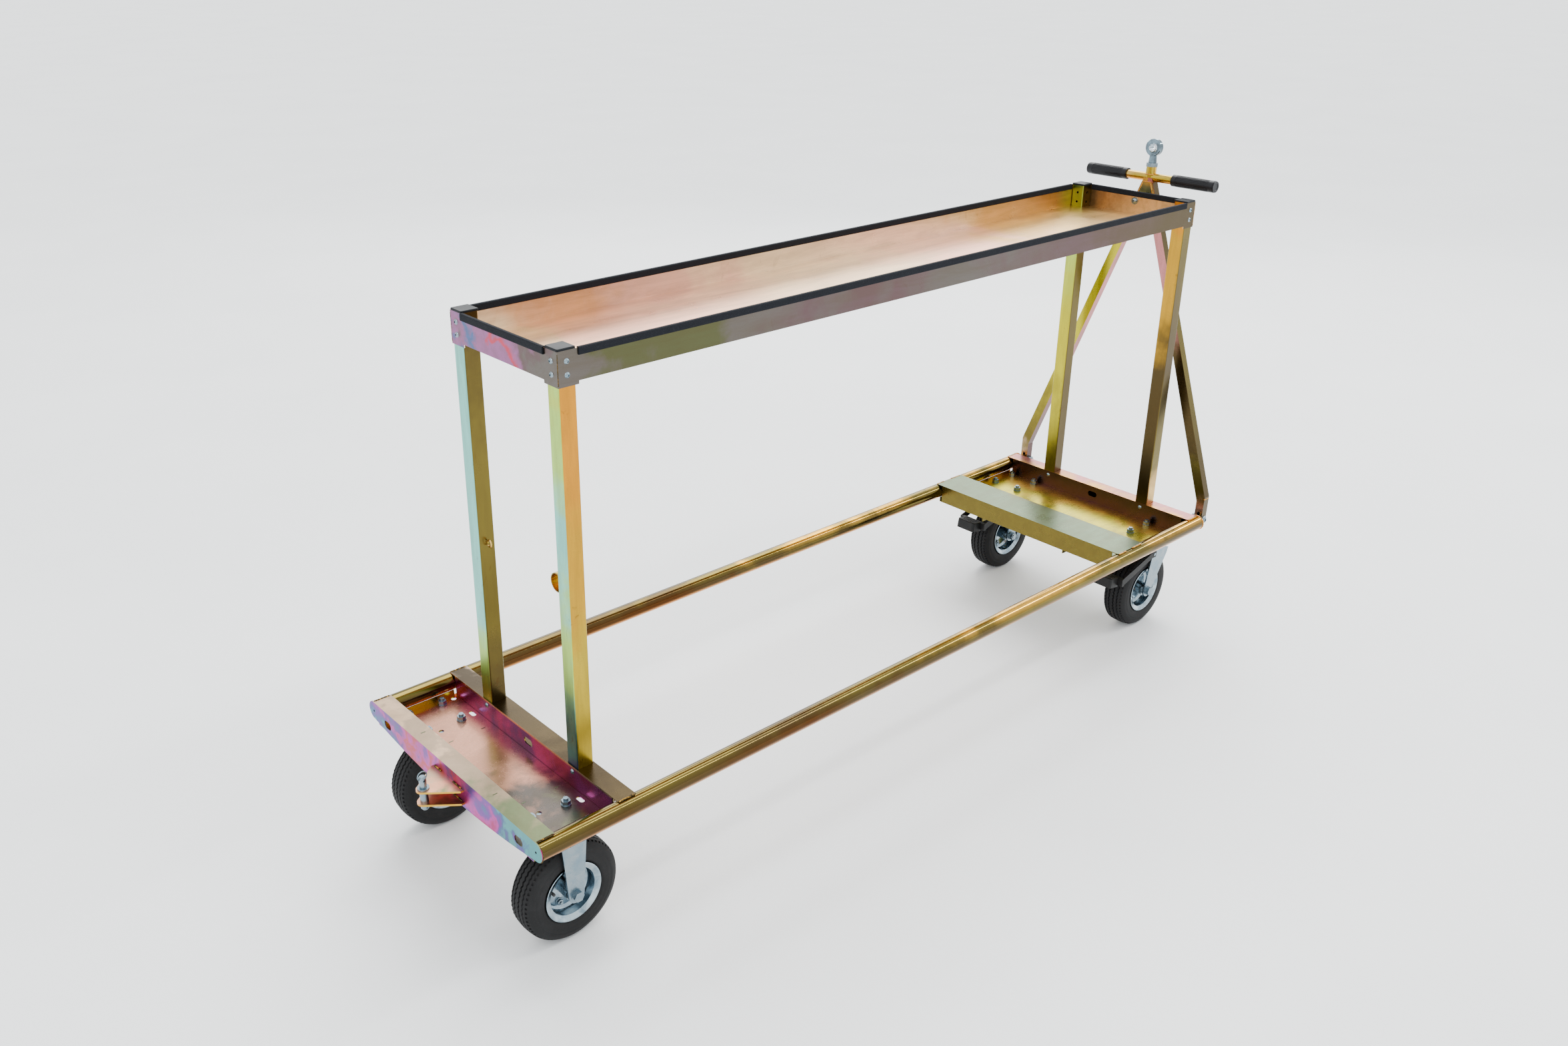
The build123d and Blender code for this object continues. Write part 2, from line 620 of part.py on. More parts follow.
def castor_fork_a():
    """Rigid castor bracket about Y = 0: top plate and two arms, drilled."""
    x = CASTOR_X_A
    plate = block(
        x - PLATE_X / 2, x + PLATE_X / 2, -PLATE_Y / 2, PLATE_Y / 2, PLATE_LOW, FLOOR_LOW - TOUCH
    )
    arm = fork_arm(x, PLATE_LOW + 1, FORK_TOP_A, x)
    fork = plate + arm + mirrored(arm)
    for dx in (-BOLT_X / 2, BOLT_X / 2):
        for dy in (-BOLT_Y / 2, BOLT_Y / 2):
            fork -= bar_z(CASTOR_BOLT_R + 0.3, PLATE_LOW - 1, FLOOR_LOW + 1, x + dx, dy)
    return fork - bar_y(AXLE_R + TOUCH, -FORK_GAP, FORK_GAP, x, WHEEL_R)


def swivel_plate():
    """Fixed half of a swivel castor about Y = 0: top plate with its ball race housing."""
    x = CASTOR_X_B
    plate = block(
        x - PLATE_X / 2, x + PLATE_X / 2, -PLATE_Y / 2, PLATE_Y / 2, PLATE_LOW, FLOOR_LOW - TOUCH
    )
    plate += bar_z(RACE_R, PLATE_LOW - RACE_HEIGHT, PLATE_LOW + 0.1, x, 0)
    for dx in (-BOLT_X / 2, BOLT_X / 2):
        for dy in (-BOLT_Y / 2, BOLT_Y / 2):
            plate -= bar_z(CASTOR_BOLT_R + 0.3, PLATE_LOW - 1, FLOOR_LOW + 1, x + dx, dy)
    return plate - bar_z(KINGPIN_R + TOUCH, PLATE_LOW - 20, FLOOR_LOW + 1, x, 0)


def kingpin():
    """Kingpin bolt that hangs the fork from the swivel plate, about Y = 0."""
    pin = bar_z(KINGPIN_R, WEB_LOW - 1, FLOOR_LOW - 2 * TOUCH, CASTOR_X_B, 0)
    pin += bar_z(KINGPIN_R + 5, WEB_LOW - CLEAR - 3.5, WEB_LOW - CLEAR, CASTOR_X_B, 0)
    return pin


def swivel_fork():
    """Turning half of a swivel castor about Y = 0: domed head, web, raked arms, pedal pivots."""
    x = CASTOR_X_B
    y_out = FORK_GAP / 2 + FORK_THICK
    head = bar_z(HEAD_R, HEAD_LOW - 0.1, HEAD_TOP, x, 0)
    web = block(x - WEB_BACK, x + WEB_FRONT, -y_out, y_out, WEB_LOW, HEAD_LOW)
    arm = fork_arm(x - ARM_SET_BACK, HEAD_LOW, ARM_TOP_B, WHEEL_X_B)
    ear = block(
        x - WEB_BACK, x - WEB_BACK + EAR, y_out - FORK_THICK, y_out, PEDAL_PIVOT_Z - 6, WEB_LOW + 1
    )
    pivot = bar_y(
        PEDAL_PIVOT_R, y_out - 1, y_out + CLEAR + PEDAL_ARM + 1, PEDAL_PIVOT_X, PEDAL_PIVOT_Z
    )
    fork = head + web
    for piece in (arm, ear, pivot):
        fork += piece
        fork += mirrored(piece)
    fork -= bar_z(KINGPIN_R + RUNNING, WEB_LOW - 9, HEAD_TOP + 9, x, 0)
    return fork - bar_y(AXLE_R + TOUCH, -FORK_GAP, FORK_GAP, WHEEL_X_B, WHEEL_R)


def brake_pedal():
    """Foot pedal of a swivel castor about Y = 0: two arms, a bridge and a grooved foot block."""
    y0 = FORK_GAP / 2 + FORK_THICK + CLEAR
    y1 = y0 + PEDAL_ARM
    end = PEDAL_BRIDGE / 2
    with BuildSketch() as side:
        with BuildLine():
            Polyline(
                (8, -9), (8, 8), (-8, 8), (-PEDAL_REACH, end - PEDAL_DROP),
                (-PEDAL_REACH, -end - PEDAL_DROP), (-8, -9), close=True
            )
        make_face()
    arm = Pos(PEDAL_PIVOT_X, y1, PEDAL_PIVOT_Z) * (Rot(90, 0, 0) * extrude(side.sketch, PEDAL_ARM))
    arm -= bar_y(PEDAL_PIVOT_R + RUNNING, y0 - 1, y1 + 1, PEDAL_PIVOT_X, PEDAL_PIVOT_Z)
    bridge_x = PEDAL_PIVOT_X - PEDAL_REACH
    bridge_z = PEDAL_PIVOT_Z - PEDAL_DROP
    bridge = block(bridge_x, bridge_x + end, -y1, y1, bridge_z - end, bridge_z + end)
    pad = Box(PEDAL_PAD, PEDAL_PAD_WIDTH, PEDAL_PAD_THICK)
    pad = fillet(pad.edges().filter_by(Axis.Z), 7)
    pad = chamfer(pad.faces().sort_by(Axis.Z)[-1].edges(), 1.5)
    for step in range(PEDAL_GROOVES):
        groove_x = -PEDAL_PAD / 2 + 8 + 8 * step
        pad -= Pos(groove_x, 0, PEDAL_PAD_THICK / 2) * Box(3.2, PEDAL_PAD_WIDTH - 14, 3.0)
    pad = Pos(bridge_x - PEDAL_PAD / 2 + end, 0, bridge_z) * Rot(0, PEDAL_TILT, 0) * pad
    return pad + bridge + arm + mirrored(arm)


def castor_fasteners():
    """Castor bolts with heads below the plates, and their nuts and washers on the pan floors."""
    bolts = []
    nuts = []
    for x_castor in (CASTOR_X_A, CASTOR_X_B):
        for side in (-1, 1):
            for dx in (-BOLT_X / 2, BOLT_X / 2):
                for dy in (-BOLT_Y / 2, BOLT_Y / 2):
                    x = x_castor + dx
                    y = side * CASTOR_Y + dy
                    bolt = bar_z(CASTOR_BOLT_R, PLATE_LOW - 1, FLOOR_TOP + 15, x, y)
                    bolt += Pos(x, y, PLATE_LOW - 6 - TOUCH) * hexagon(CASTOR_BOLT_AF, 6)
                    bolts.append(bolt)
                    hole = bar_z(CASTOR_BOLT_R + TOUCH, FLOOR_LOW, FLOOR_TOP + 20, x, y)
                    washer = bar_z(10, FLOOR_TOP + TOUCH, FLOOR_TOP + 2, x, y) - hole
                    nut = Pos(x, y, FLOOR_TOP + 2 + TOUCH) * Rot(0, 0, 17) * hexagon(CASTOR_BOLT_AF, 8)
                    nuts.append(washer)
                    nuts.append(nut - hole)
    return bolts, nuts


# ---------------------------------------------------------------- tow clevis
def clevis_plate(z_top):
    """One triangular ear of the clevis, welded to the end wall."""
    base = CLEVIS_BASE / 2
    nose = CLEVIS_NOSE_R
    with BuildSketch() as outline:
        with BuildLine():
            Polyline((-TOUCH, -base), (-TOUCH, base), (-6, base), (-PIN_REACH - 6, nose * 0.9),
                     (-PIN_REACH - 6, -nose * 0.9), (-6, -base), close=True)
        make_face()
        with Locations((-PIN_REACH, 0)):
            Circle(nose)
    plate = extrude(outline.sketch, CLEVIS_THICK)
    plate = Pos(0, 0, z_top - CLEVIS_THICK) * plate
    return plate - bar_z(PIN_R + RUNNING, z_top - 20, z_top + 20, -PIN_REACH, 0)


def tow_pin():
    """Drop-in tow pin: shank with a tapered tip, collar, and a cross-drilled head."""
    z = CLEVIS_TOP
    low = z - 2 * CLEVIS_THICK - CLEVIS_GAP - 14
    pin = bar_z(PIN_R, low + 4, z + 0.5, -PIN_REACH, 0)
    pin += Pos(-PIN_REACH, 0, low + 2) * Cone(PIN_R - 3, PIN_R, 4)
    pin += bar_z(PIN_R + 3.5, z + TOUCH, z + 3, -PIN_REACH, 0)
    pin += bar_z(PIN_R - 1, z + 2, z + 24, -PIN_REACH, 0)
    pin += Pos(-PIN_REACH, 0, z + 25.5) * Cone(PIN_R - 1, PIN_R - 3, 3)
    return pin - bar_y(2.2, -20, 20, -PIN_REACH, z + 19)


# ---------------------------------------------------------------- drawbar
def drawbar_lug():
    """Cap of the +Y rail's end with the hinge lug on it."""
    cap = bar_x(RAIL_R, RAIL_LENGTH + TOUCH, RAIL_LENGTH + LUG_CAP, RAIL_Y, RAIL_HEIGHT)
    y0 = LEG_Y - LUG_THICK / 2
    y1 = LEG_Y + LUG_THICK / 2
    lug = block(
        RAIL_LENGTH + LUG_CAP - 0.2, HINGE_X, y0, y1, RAIL_HEIGHT - LUG_R, RAIL_HEIGHT + LUG_R
    )
    lug += bar_y(LUG_R, y0, y1, HINGE_X, RAIL_HEIGHT)
    return cap + lug - bar_y(HINGE_R + RUNNING, y0 - 1, y1 + 1, HINGE_X, RAIL_HEIGHT)


def leg_outline(half, low, high):
    """Side outline of a bent leg: vertical foot, kink, then straight to the handle."""
    tilt = atan(LEG_SLOPE)
    shift = half * (1 - sin(tilt)) / cos(tilt)
    wide = half / cos(tilt)
    y_top = LEG_Y - LEG_SLOPE * (high - KINK_HEIGHT)
    return make_face(
        Polyline(
            (LEG_Y - half, low),
            (LEG_Y + half, low),
            (LEG_Y + half, KINK_HEIGHT + shift),
            (y_top + wide, high),
            (y_top - wide, high),
            (LEG_Y - half, KINK_HEIGHT - shift),
            close=True,
        )
    )


def drawbar_leg():
    """+Y leg in the drawbar's own frame: the hinge axis at the origin's height, Z up the leg."""
    top = HANDLE_HEIGHT
    outer = extrude(Plane.YZ * leg_outline(LEG / 2, -LEG / 2, top), LEG / 2, both=True)
    inner_half = LEG / 2 - LEG_WALL
    inner = extrude(Plane.YZ * leg_outline(inner_half, -LEG, top + 9), inner_half, both=True)
    leg = outer - inner
    slot_half = LUG_THICK / 2 + CLEAR
    slot_top = LUG_R + 8
    leg -= block(-LEG, LEG, LEG_Y - slot_half, LEG_Y + slot_half, -LEG, slot_top)
    leg -= bar_y(HINGE_R + TOUCH, LEG_Y - LEG, LEG_Y + LEG, 0, 0)
    leg -= bar_y(HANDLE_OD / 2 + TOUCH, -RAIL_Y, RAIL_Y, 0, HANDLE_HEIGHT)
    leg -= block(-LEG, LEG, -RAIL_Y, TOUCH, 0, HANDLE_HEIGHT + LEG)
    leg -= block(-LEG, LEG, -RAIL_Y, RAIL_Y, HANDLE_HEIGHT, HANDLE_HEIGHT + LEG)
    return leg.solids().sort_by(SortBy.VOLUME)[-1]


def gusset():
    """Plate across the front of both legs, under the handle."""
    top = HANDLE_HEIGHT - HANDLE_OD / 2 - 1
    low = top - GUSSET_HEIGHT
    wide = LEG / 2 / cos(atan(LEG_SLOPE)) - 1
    y_top = LEG_Y - LEG_SLOPE * (top - KINK_HEIGHT) + wide
    y_low = LEG_Y - LEG_SLOPE * (low - KINK_HEIGHT) + wide
    face = make_face(Polyline((-y_low, low), (y_low, low), (y_top, top), (-y_top, top), close=True))
    plate = extrude(Plane.YZ * face, GUSSET)
    return Pos(-LEG / 2 - GUSSET - TOUCH, 0, 0) * plate


def handle_tube():
    """Cross tube of the drawbar's handle, with the eye boss's seat bored in its top."""
    half = HANDLE_LENGTH / 2
    tube = bar_y(HANDLE_OD / 2, -half, half, 0, HANDLE_HEIGHT)
    tube -= bar_y(HANDLE_OD / 2 - HANDLE_WALL, -half - 1, half + 1, 0, HANDLE_HEIGHT)
    return tube


def handle_grip():
    """+Y rubber grip, closed at its end."""
    half = HANDLE_LENGTH / 2
    grip = bar_y(GRIP_OD / 2, half + GRIP_END - GRIP_LENGTH, half + GRIP_END, 0, HANDLE_HEIGHT)
    grip = fillet(grip.edges().filter_by(GeomType.CIRCLE), 2.5)
    return grip - bar_y(HANDLE_OD / 2 + TOUCH, 0, half + TOUCH, 0, HANDLE_HEIGHT)


def eye_boss():
    """Threaded boss on top of the handle."""
    boss = bar_z(BOSS_OD / 2, HANDLE_HEIGHT, BOSS_TOP, 0, 0)
    boss -= bar_y(HANDLE_OD / 2 + TOUCH, -BOSS_OD, BOSS_OD, 0, HANDLE_HEIGHT)
    return boss - bar_z(STUD_R + TOUCH, HANDLE_HEIGHT, BOSS_TOP + 1, 0, 0)


def lock_nut():
    """Lock nut on the eye's stud."""
    nut = Pos(0, 0, BOSS_TOP + TOUCH) * Rot(0, 0, 30) * hexagon(NUT_AF, NUT_HEIGHT)
    nut = nut & Pos(0, 0, BOSS_TOP + NUT_HEIGHT / 2) * Sphere(NUT_AF * 0.585)
    return nut - bar_z(STUD_R + TOUCH, BOSS_TOP - 1, BOSS_TOP + NUT_HEIGHT + 1, 0, 0)


def rod_end():
    """Eye head and stud: a ring about X with a round seat for its ball."""
    ring = bar_x(EYE_OD / 2, -EYE_WIDTH / 2, EYE_WIDTH / 2, 0, EYE_HEIGHT)
    ring = chamfer(ring.edges().filter_by(GeomType.CIRCLE), 1.5)
    neck_low = BOSS_TOP + NUT_HEIGHT + 1
    neck = Pos(0, 0, (neck_low + EYE_HEIGHT - 15) / 2) * Cone(
        STUD_R + 1.5, STUD_R - 0.5, EYE_HEIGHT - 15 - neck_low
    )
    stud = bar_z(STUD_R, HANDLE_HEIGHT + HANDLE_OD / 2 + 3, neck_low + 1, 0, 0)
    body = ring + neck + stud
    return body - Pos(0, 0, EYE_HEIGHT) * Sphere(BALL_R + 0.08)


def rod_end_ball():
    """Ball of the eye, bored for the tow pin of the next dolly."""
    ball = Pos(0, 0, EYE_HEIGHT) * Sphere(BALL_R)
    ball &= bar_x(BALL_R + 1, -BALL_WIDTH / 2, BALL_WIDTH / 2, 0, EYE_HEIGHT)
    return ball - bar_x(EYE_BORE_R, -BALL_WIDTH, BALL_WIDTH, 0, EYE_HEIGHT)


def hinge_fasteners():
    """+Y hinge bolt with its domed head outside, washer, and nut inside."""
    out = LEG_Y + LEG / 2
    inn = LEG_Y - LEG / 2
    screw = dome_screw(HINGE_R, HINGE_R + 4, 6.0, LEG + 14.0)
    bolt = Pos(0, out + 1.5, 0) * Rot(-90, 0, 0) * screw
    washer = bar_y(11.0, out + TOUCH, out + 1.5 - TOUCH, 0, 0)
    washer -= bar_y(HINGE_R + TOUCH, out - 1, out + 3, 0, 0)
    nut = Pos(0, inn - TOUCH, 0) * Rot(90, 0, 0) * hexagon(18.0, 9.0)
    nut -= bar_y(HINGE_R + TOUCH, inn - 12, inn + 1, 0, 0)
    return [bolt, washer, nut]


def latch():
    """Screw, washer and stand-off magnet on the tray's end wall that hold the drawbar up."""
    x_in = TRAY_IN_B - TOUCH
    x_out = TRAY_IN_B + TRAY_SHEET + TOUCH
    rise = LATCH_HEIGHT - RAIL_HEIGHT
    x_plate = HINGE_X + rise * sin(LEAN * pi / 180) - (LEG / 2 + GUSSET) / cos(LEAN * pi / 180)
    x_face = x_plate - 3 * CLEAR
    screw = Pos(x_in - 1.5, 0, LATCH_HEIGHT) * Rot(0, -90, 0) * dome_screw(SCREW_R, 7.0, 4.0, 16.0)
    washer = bar_x(LATCH_WASHER_R, x_in - 1.5, x_in, 0, LATCH_HEIGHT)
    washer -= bar_x(SCREW_R + TOUCH, x_in - 3, x_in + 1, 0, LATCH_HEIGHT)
    stand = bar_x(SPACER_R, x_out, x_face - MAGNET + 0.1, 0, LATCH_HEIGHT)
    stand += bar_x(MAGNET_R, x_face - MAGNET, x_face, 0, LATCH_HEIGHT)
    stand -= bar_x(SCREW_R + TOUCH, x_out - 1, x_out + 13, 0, LATCH_HEIGHT)
    return [screw, washer], stand


def bar_socket():
    """Short tube on the inside of the near clevis-end post, open at both ends."""
    y = -POST_TRACK / 2 + POST + RAIL_R + TOUCH
    x1 = SOCKET_X + SOCKET_LENGTH
    tube = bar_x(RAIL_R, SOCKET_X, x1, y, SOCKET_HEIGHT)
    return tube - bar_x(RAIL_R - RAIL_WALL, SOCKET_X - 1, x1 + 1, y, SOCKET_HEIGHT)


def ring_clip():
    """Small open ring on the inside of the far clevis-end post."""
    y = POST_TRACK / 2 - POST
    room = 2 * CLIP_R
    loop = Torus(CLIP_R, CLIP_WIRE_R) - block(0, room, -room / 4, room / 4, -room, room)
    loop = Pos(POST_X_A, y - CLIP_R - CLIP_WIRE_R, CLIP_HEIGHT) * Rot(90, 0, 0) * Rot(0, 90, 0) * loop
    stem = bar_y(CLIP_WIRE_R, y - 3.5, y - TOUCH, POST_X_A, CLIP_HEIGHT)
    return loop + stem


def in_place(shape):
    """Lean a drawbar piece and set it on the hinge."""
    return Pos(HINGE_X, 0, RAIL_HEIGHT) * Rot(0, LEAN, 0) * shape


def make_frame():
    save("rail_far", rail())
    save("rail_near", mirrored(rail()))
    save("end_wall_a", end_wall_a())
    save("pan_a", pan_a())
    save("pan_b", pan_b())
    save("end_wall_b", end_wall_b())
    rib_a = rib(SHEET + TOUCH, POST_LINE_A, RIB_TABS_A, True)
    rib_b = rib(BAY_END + SHEET, PAN_B_END - SHEET - TOUCH, RIB_TABS_B, False)
    save("pan_ribs", *both(rib_a), *both(rib_b))
    for end, x in (("a", POST_X_A), ("b", POST_X_B)):
        piece = post(x, FLOOR_TOP + TOUCH)
        save(f"post_{end}_far", piece)
        save(f"post_{end}_near", mirrored(piece))
    save("post_caps", *both(post_cap(POST_X_A)), *both(post_cap(POST_X_B)))
    save("post_base_screws", *post_base_screws())
    save("tray", tray())
    save("tray_screws", *tray_screws())
    save("edge_trims_long", *both(trim_long()))
    x_a = TRAY_IN_A - TRAY_SHEET / 2
    x_b = TRAY_IN_B + TRAY_SHEET / 2
    save("edge_trims_short", trim_short(x_a), trim_short(x_b))
    save("clevis_plates", clevis_plate(CLEVIS_TOP), clevis_plate(CLEVIS_TOP - CLEVIS_THICK - CLEVIS_GAP))
    save("tow_pin", tow_pin())
    save("bar_socket", bar_socket())
    save("ring_clip", ring_clip())
    fasteners, magnet = latch()
    save("latch_screw", *fasteners)
    save("latch_magnet", magnet)
    save("drawbar_lugs", *both(drawbar_lug()))


def make_castors():
    bolts, nuts = castor_fasteners()
    save("castor_bolts", *bolts)
    save("castor_nuts", *nuts)
    tyre = wheel_tyre()
    rim = wheel_rim()
    hub = wheel_hub()
    plates = []
    kingpins = []
    for side, name in ((-1, "near"), (1, "far")):
        y = side * CASTOR_Y
        turn = Rot(0, 0, 0) if side < 0 else Rot(0, 0, 180)
        save(f"castor_a_{name}_fork", Pos(0, y, 0) * castor_fork_a())
        for end, x in (("a", CASTOR_X_A), ("b", WHEEL_X_B)):
            place = Pos(x, y, WHEEL_R)
            save(f"castor_{end}_{name}_tyre", place * tyre)
            save(f"castor_{end}_{name}_rim", *[place * half for half in rim])
            save(f"castor_{end}_{name}_hub", place * hub)
            save(f"castor_{end}_{name}_axle", *[place * turn * piece for piece in axle_set()])
        save(f"castor_b_{name}_fork", Pos(0, y, 0) * swivel_fork())
        save(f"castor_b_{name}_pedal", Pos(0, y, 0) * brake_pedal())
        plates.append(Pos(0, y, 0) * swivel_plate())
        kingpins.append(Pos(0, y, 0) * kingpin())
    save("swivel_plates", *plates)
    save("kingpins", *kingpins)


def make_drawbar():
    leg = drawbar_leg()
    save("drawbar_leg_far", in_place(leg))
    save("drawbar_leg_near", in_place(mirrored(leg)))
    save("drawbar_gusset", in_place(gusset()))
    save("handle_tube", in_place(handle_tube()))
    save("handle_grips", *[in_place(grip) for grip in both(handle_grip())])
    save("eye_boss", in_place(eye_boss()))
    save("eye_lock_nut", in_place(lock_nut()))
    save("rod_end", in_place(rod_end()))
    save("rod_end_ball", in_place(rod_end_ball()))
    pieces = hinge_fasteners()
    save("hinge_bolts", *[in_place(each) for piece in pieces for each in both(piece)])


os.makedirs("parts", exist_ok=True)
make_frame()
make_castors()
make_drawbar()
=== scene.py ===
"""Wheel dolly: finishes, tyres, grips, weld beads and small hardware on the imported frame."""
import json
import math

import bmesh
import bpy
from mathutils import Matrix, Vector


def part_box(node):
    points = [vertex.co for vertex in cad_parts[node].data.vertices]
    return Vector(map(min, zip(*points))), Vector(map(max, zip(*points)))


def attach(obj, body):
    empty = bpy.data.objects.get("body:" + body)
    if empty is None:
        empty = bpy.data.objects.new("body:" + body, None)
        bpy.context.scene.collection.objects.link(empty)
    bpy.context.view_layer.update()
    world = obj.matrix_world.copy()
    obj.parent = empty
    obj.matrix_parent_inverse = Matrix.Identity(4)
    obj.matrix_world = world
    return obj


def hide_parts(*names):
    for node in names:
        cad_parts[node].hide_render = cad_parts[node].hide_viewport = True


bl_info = {
    "name": "Wheel Dolly",
    "version": (1, 0, 0),
    "blender": (4, 5, 0),
    "location": "View3D > Sidebar > Dolly",
    "description": "Dresses a towable wheel dolly: zinc finishes, tyres, grips and weld beads",
    "category": "Add Mesh",
}

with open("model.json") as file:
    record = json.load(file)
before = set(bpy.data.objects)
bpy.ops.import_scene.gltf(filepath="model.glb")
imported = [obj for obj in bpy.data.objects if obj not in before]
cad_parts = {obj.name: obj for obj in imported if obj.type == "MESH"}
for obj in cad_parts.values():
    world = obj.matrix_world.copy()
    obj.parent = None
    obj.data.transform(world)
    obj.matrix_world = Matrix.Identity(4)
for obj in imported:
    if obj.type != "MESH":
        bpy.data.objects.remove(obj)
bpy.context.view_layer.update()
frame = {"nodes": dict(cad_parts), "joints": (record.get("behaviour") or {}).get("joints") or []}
NODES = frame["nodes"]
JOINTS = {joint["name"]: joint for joint in frame["joints"]}

SIDES = ("near", "far")
OTHER_CASTORS = ("castor_a_far", "castor_b_near", "castor_b_far")
TURN = 2 * math.pi
SAME_PLACE = 1e-6

CAMERA_PLACE = (-2.03094, -1.93567, 1.76418)
CAMERA_AHEAD = (0.6004, 0.6961, -0.3937)
CAMERA_LENS = 30.73
CAMERA_SHIFT = (0.0383, -0.0225)
LIGHTS_AIM = Vector((0, 0, 0.6))
FLOOR_SIZE = 260.0
VIEW_END = 400.0


# ---------------------------------------------------------------- places read from the frame
def middle(node):
    """Centre of a node's box."""
    low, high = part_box(node)
    return (low + high) / 2


RAIL_LOW, RAIL_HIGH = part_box("rail_near")
RAIL_R = (RAIL_HIGH.z - RAIL_LOW.z) / 2
RAIL_Z = (RAIL_HIGH.z + RAIL_LOW.z) / 2
RAIL_Y = -(RAIL_HIGH.y + RAIL_LOW.y) / 2
END_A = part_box("end_wall_a")[0].x
PAN_A_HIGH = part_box("pan_a")[1]
PAN_B_LOW, PAN_B_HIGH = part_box("pan_b")
TRAY_LOW, TRAY_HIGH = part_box("tray")
HINGE = Vector(JOINTS["drawbar_fold"]["pos_m"])
HANDLE = middle("handle_tube")
LEAN = math.atan2(HANDLE.x - HINGE.x, HANDLE.z - HINGE.z)


# ---------------------------------------------------------------- what a user may change
class DollySizes(bpy.types.PropertyGroup):
    """Sizes of the pieces that are modelled here."""

    tread_steps: bpy.props.IntProperty(
        name="Tread steps", description="Zigzag points round each tyre", default=128, min=48, max=192)
    groove_depth: bpy.props.FloatProperty(
        name="Groove depth", description="Depth of the tread grooves", default=0.0042, unit="LENGTH")
    groove_half: bpy.props.FloatProperty(
        name="Groove half width", description="Half width of a tread groove", default=0.0019, unit="LENGTH")
    zigzag: bpy.props.FloatProperty(
        name="Zigzag", description="How far a groove swings sideways", default=0.0026, unit="LENGTH")
    bead_radius: bpy.props.FloatProperty(
        name="Bead radius", description="Half width of a weld bead", default=0.0031, unit="LENGTH")
    bead_pitch: bpy.props.FloatProperty(
        name="Bead pitch", description="Distance between weld ripples", default=0.0031, unit="LENGTH")
    grip_ridges: bpy.props.IntProperty(
        name="Grip ridges", description="Ridges round a handle grip", default=22, min=8, max=40)
    ridge_height: bpy.props.FloatProperty(
        name="Ridge height", description="Height of a grip's ridges", default=0.0011, unit="LENGTH")


class DollyColours(bpy.types.PropertyGroup):
    """Colours that repaint the plain finishes."""

    rubber: bpy.props.FloatVectorProperty(
        name="Tyre rubber", description="Colour of the tyres", subtype="COLOR",
        default=(0.007, 0.007, 0.0075))
    trim: bpy.props.FloatVectorProperty(
        name="Edge trim", description="Colour of the tray's trim", subtype="COLOR",
        default=(0.008, 0.009, 0.012))
    grip: bpy.props.FloatVectorProperty(
        name="Grips", description="Colour of the handle grips", subtype="COLOR",
        default=(0.007, 0.007, 0.009))
    bright: bpy.props.FloatVectorProperty(
        name="Bright zinc", description="Colour of the plated hardware", subtype="COLOR",
        default=(0.24, 0.29, 0.32))
    floor: bpy.props.FloatVectorProperty(
        name="Floor", description="Colour of the stage floor", subtype="COLOR",
        default=(0.80, 0.815, 0.82))


# ---------------------------------------------------------------- shader maths
class Wire:
    """A shader socket that adds Math nodes when it is used in an expression."""

    def __init__(self, finish, socket):
        self.finish = finish
        self.socket = socket

    def _math(self, operation, a, b):
        node = self.finish.node("ShaderNodeMath", {"operation": operation}, {0: a, 1: b})
        return node.out(0)

    def __add__(self, other):
        return self._math("ADD", self, other)

    def __radd__(self, other):
        return self._math("ADD", other, self)

    def __sub__(self, other):
        return self._math("SUBTRACT", self, other)

    def __rsub__(self, other):
        return self._math("SUBTRACT", other, self)

    def __mul__(self, other):
        return self._math("MULTIPLY", self, other)

    def __rmul__(self, other):
        return self._math("MULTIPLY", other, self)

    def __truediv__(self, other):
        return self._math("DIVIDE", self, other)

    def __rtruediv__(self, other):
        return self._math("DIVIDE", other, self)

    def __abs__(self):
        return self._math("ABSOLUTE", self, 0.0)


class Placed:
    """A node in a finish, with its outputs as wires."""

    def __init__(self, finish, node):
        self.finish = finish
        self.node = node

    def out(self, key):
        return Wire(self.finish, self.node.outputs[key])


def opaque(value):
    """A colour of three numbers with its alpha added; anything else as it is."""
    return (*value, 1.0) if isinstance(value, tuple) and len(value) == 3 else value


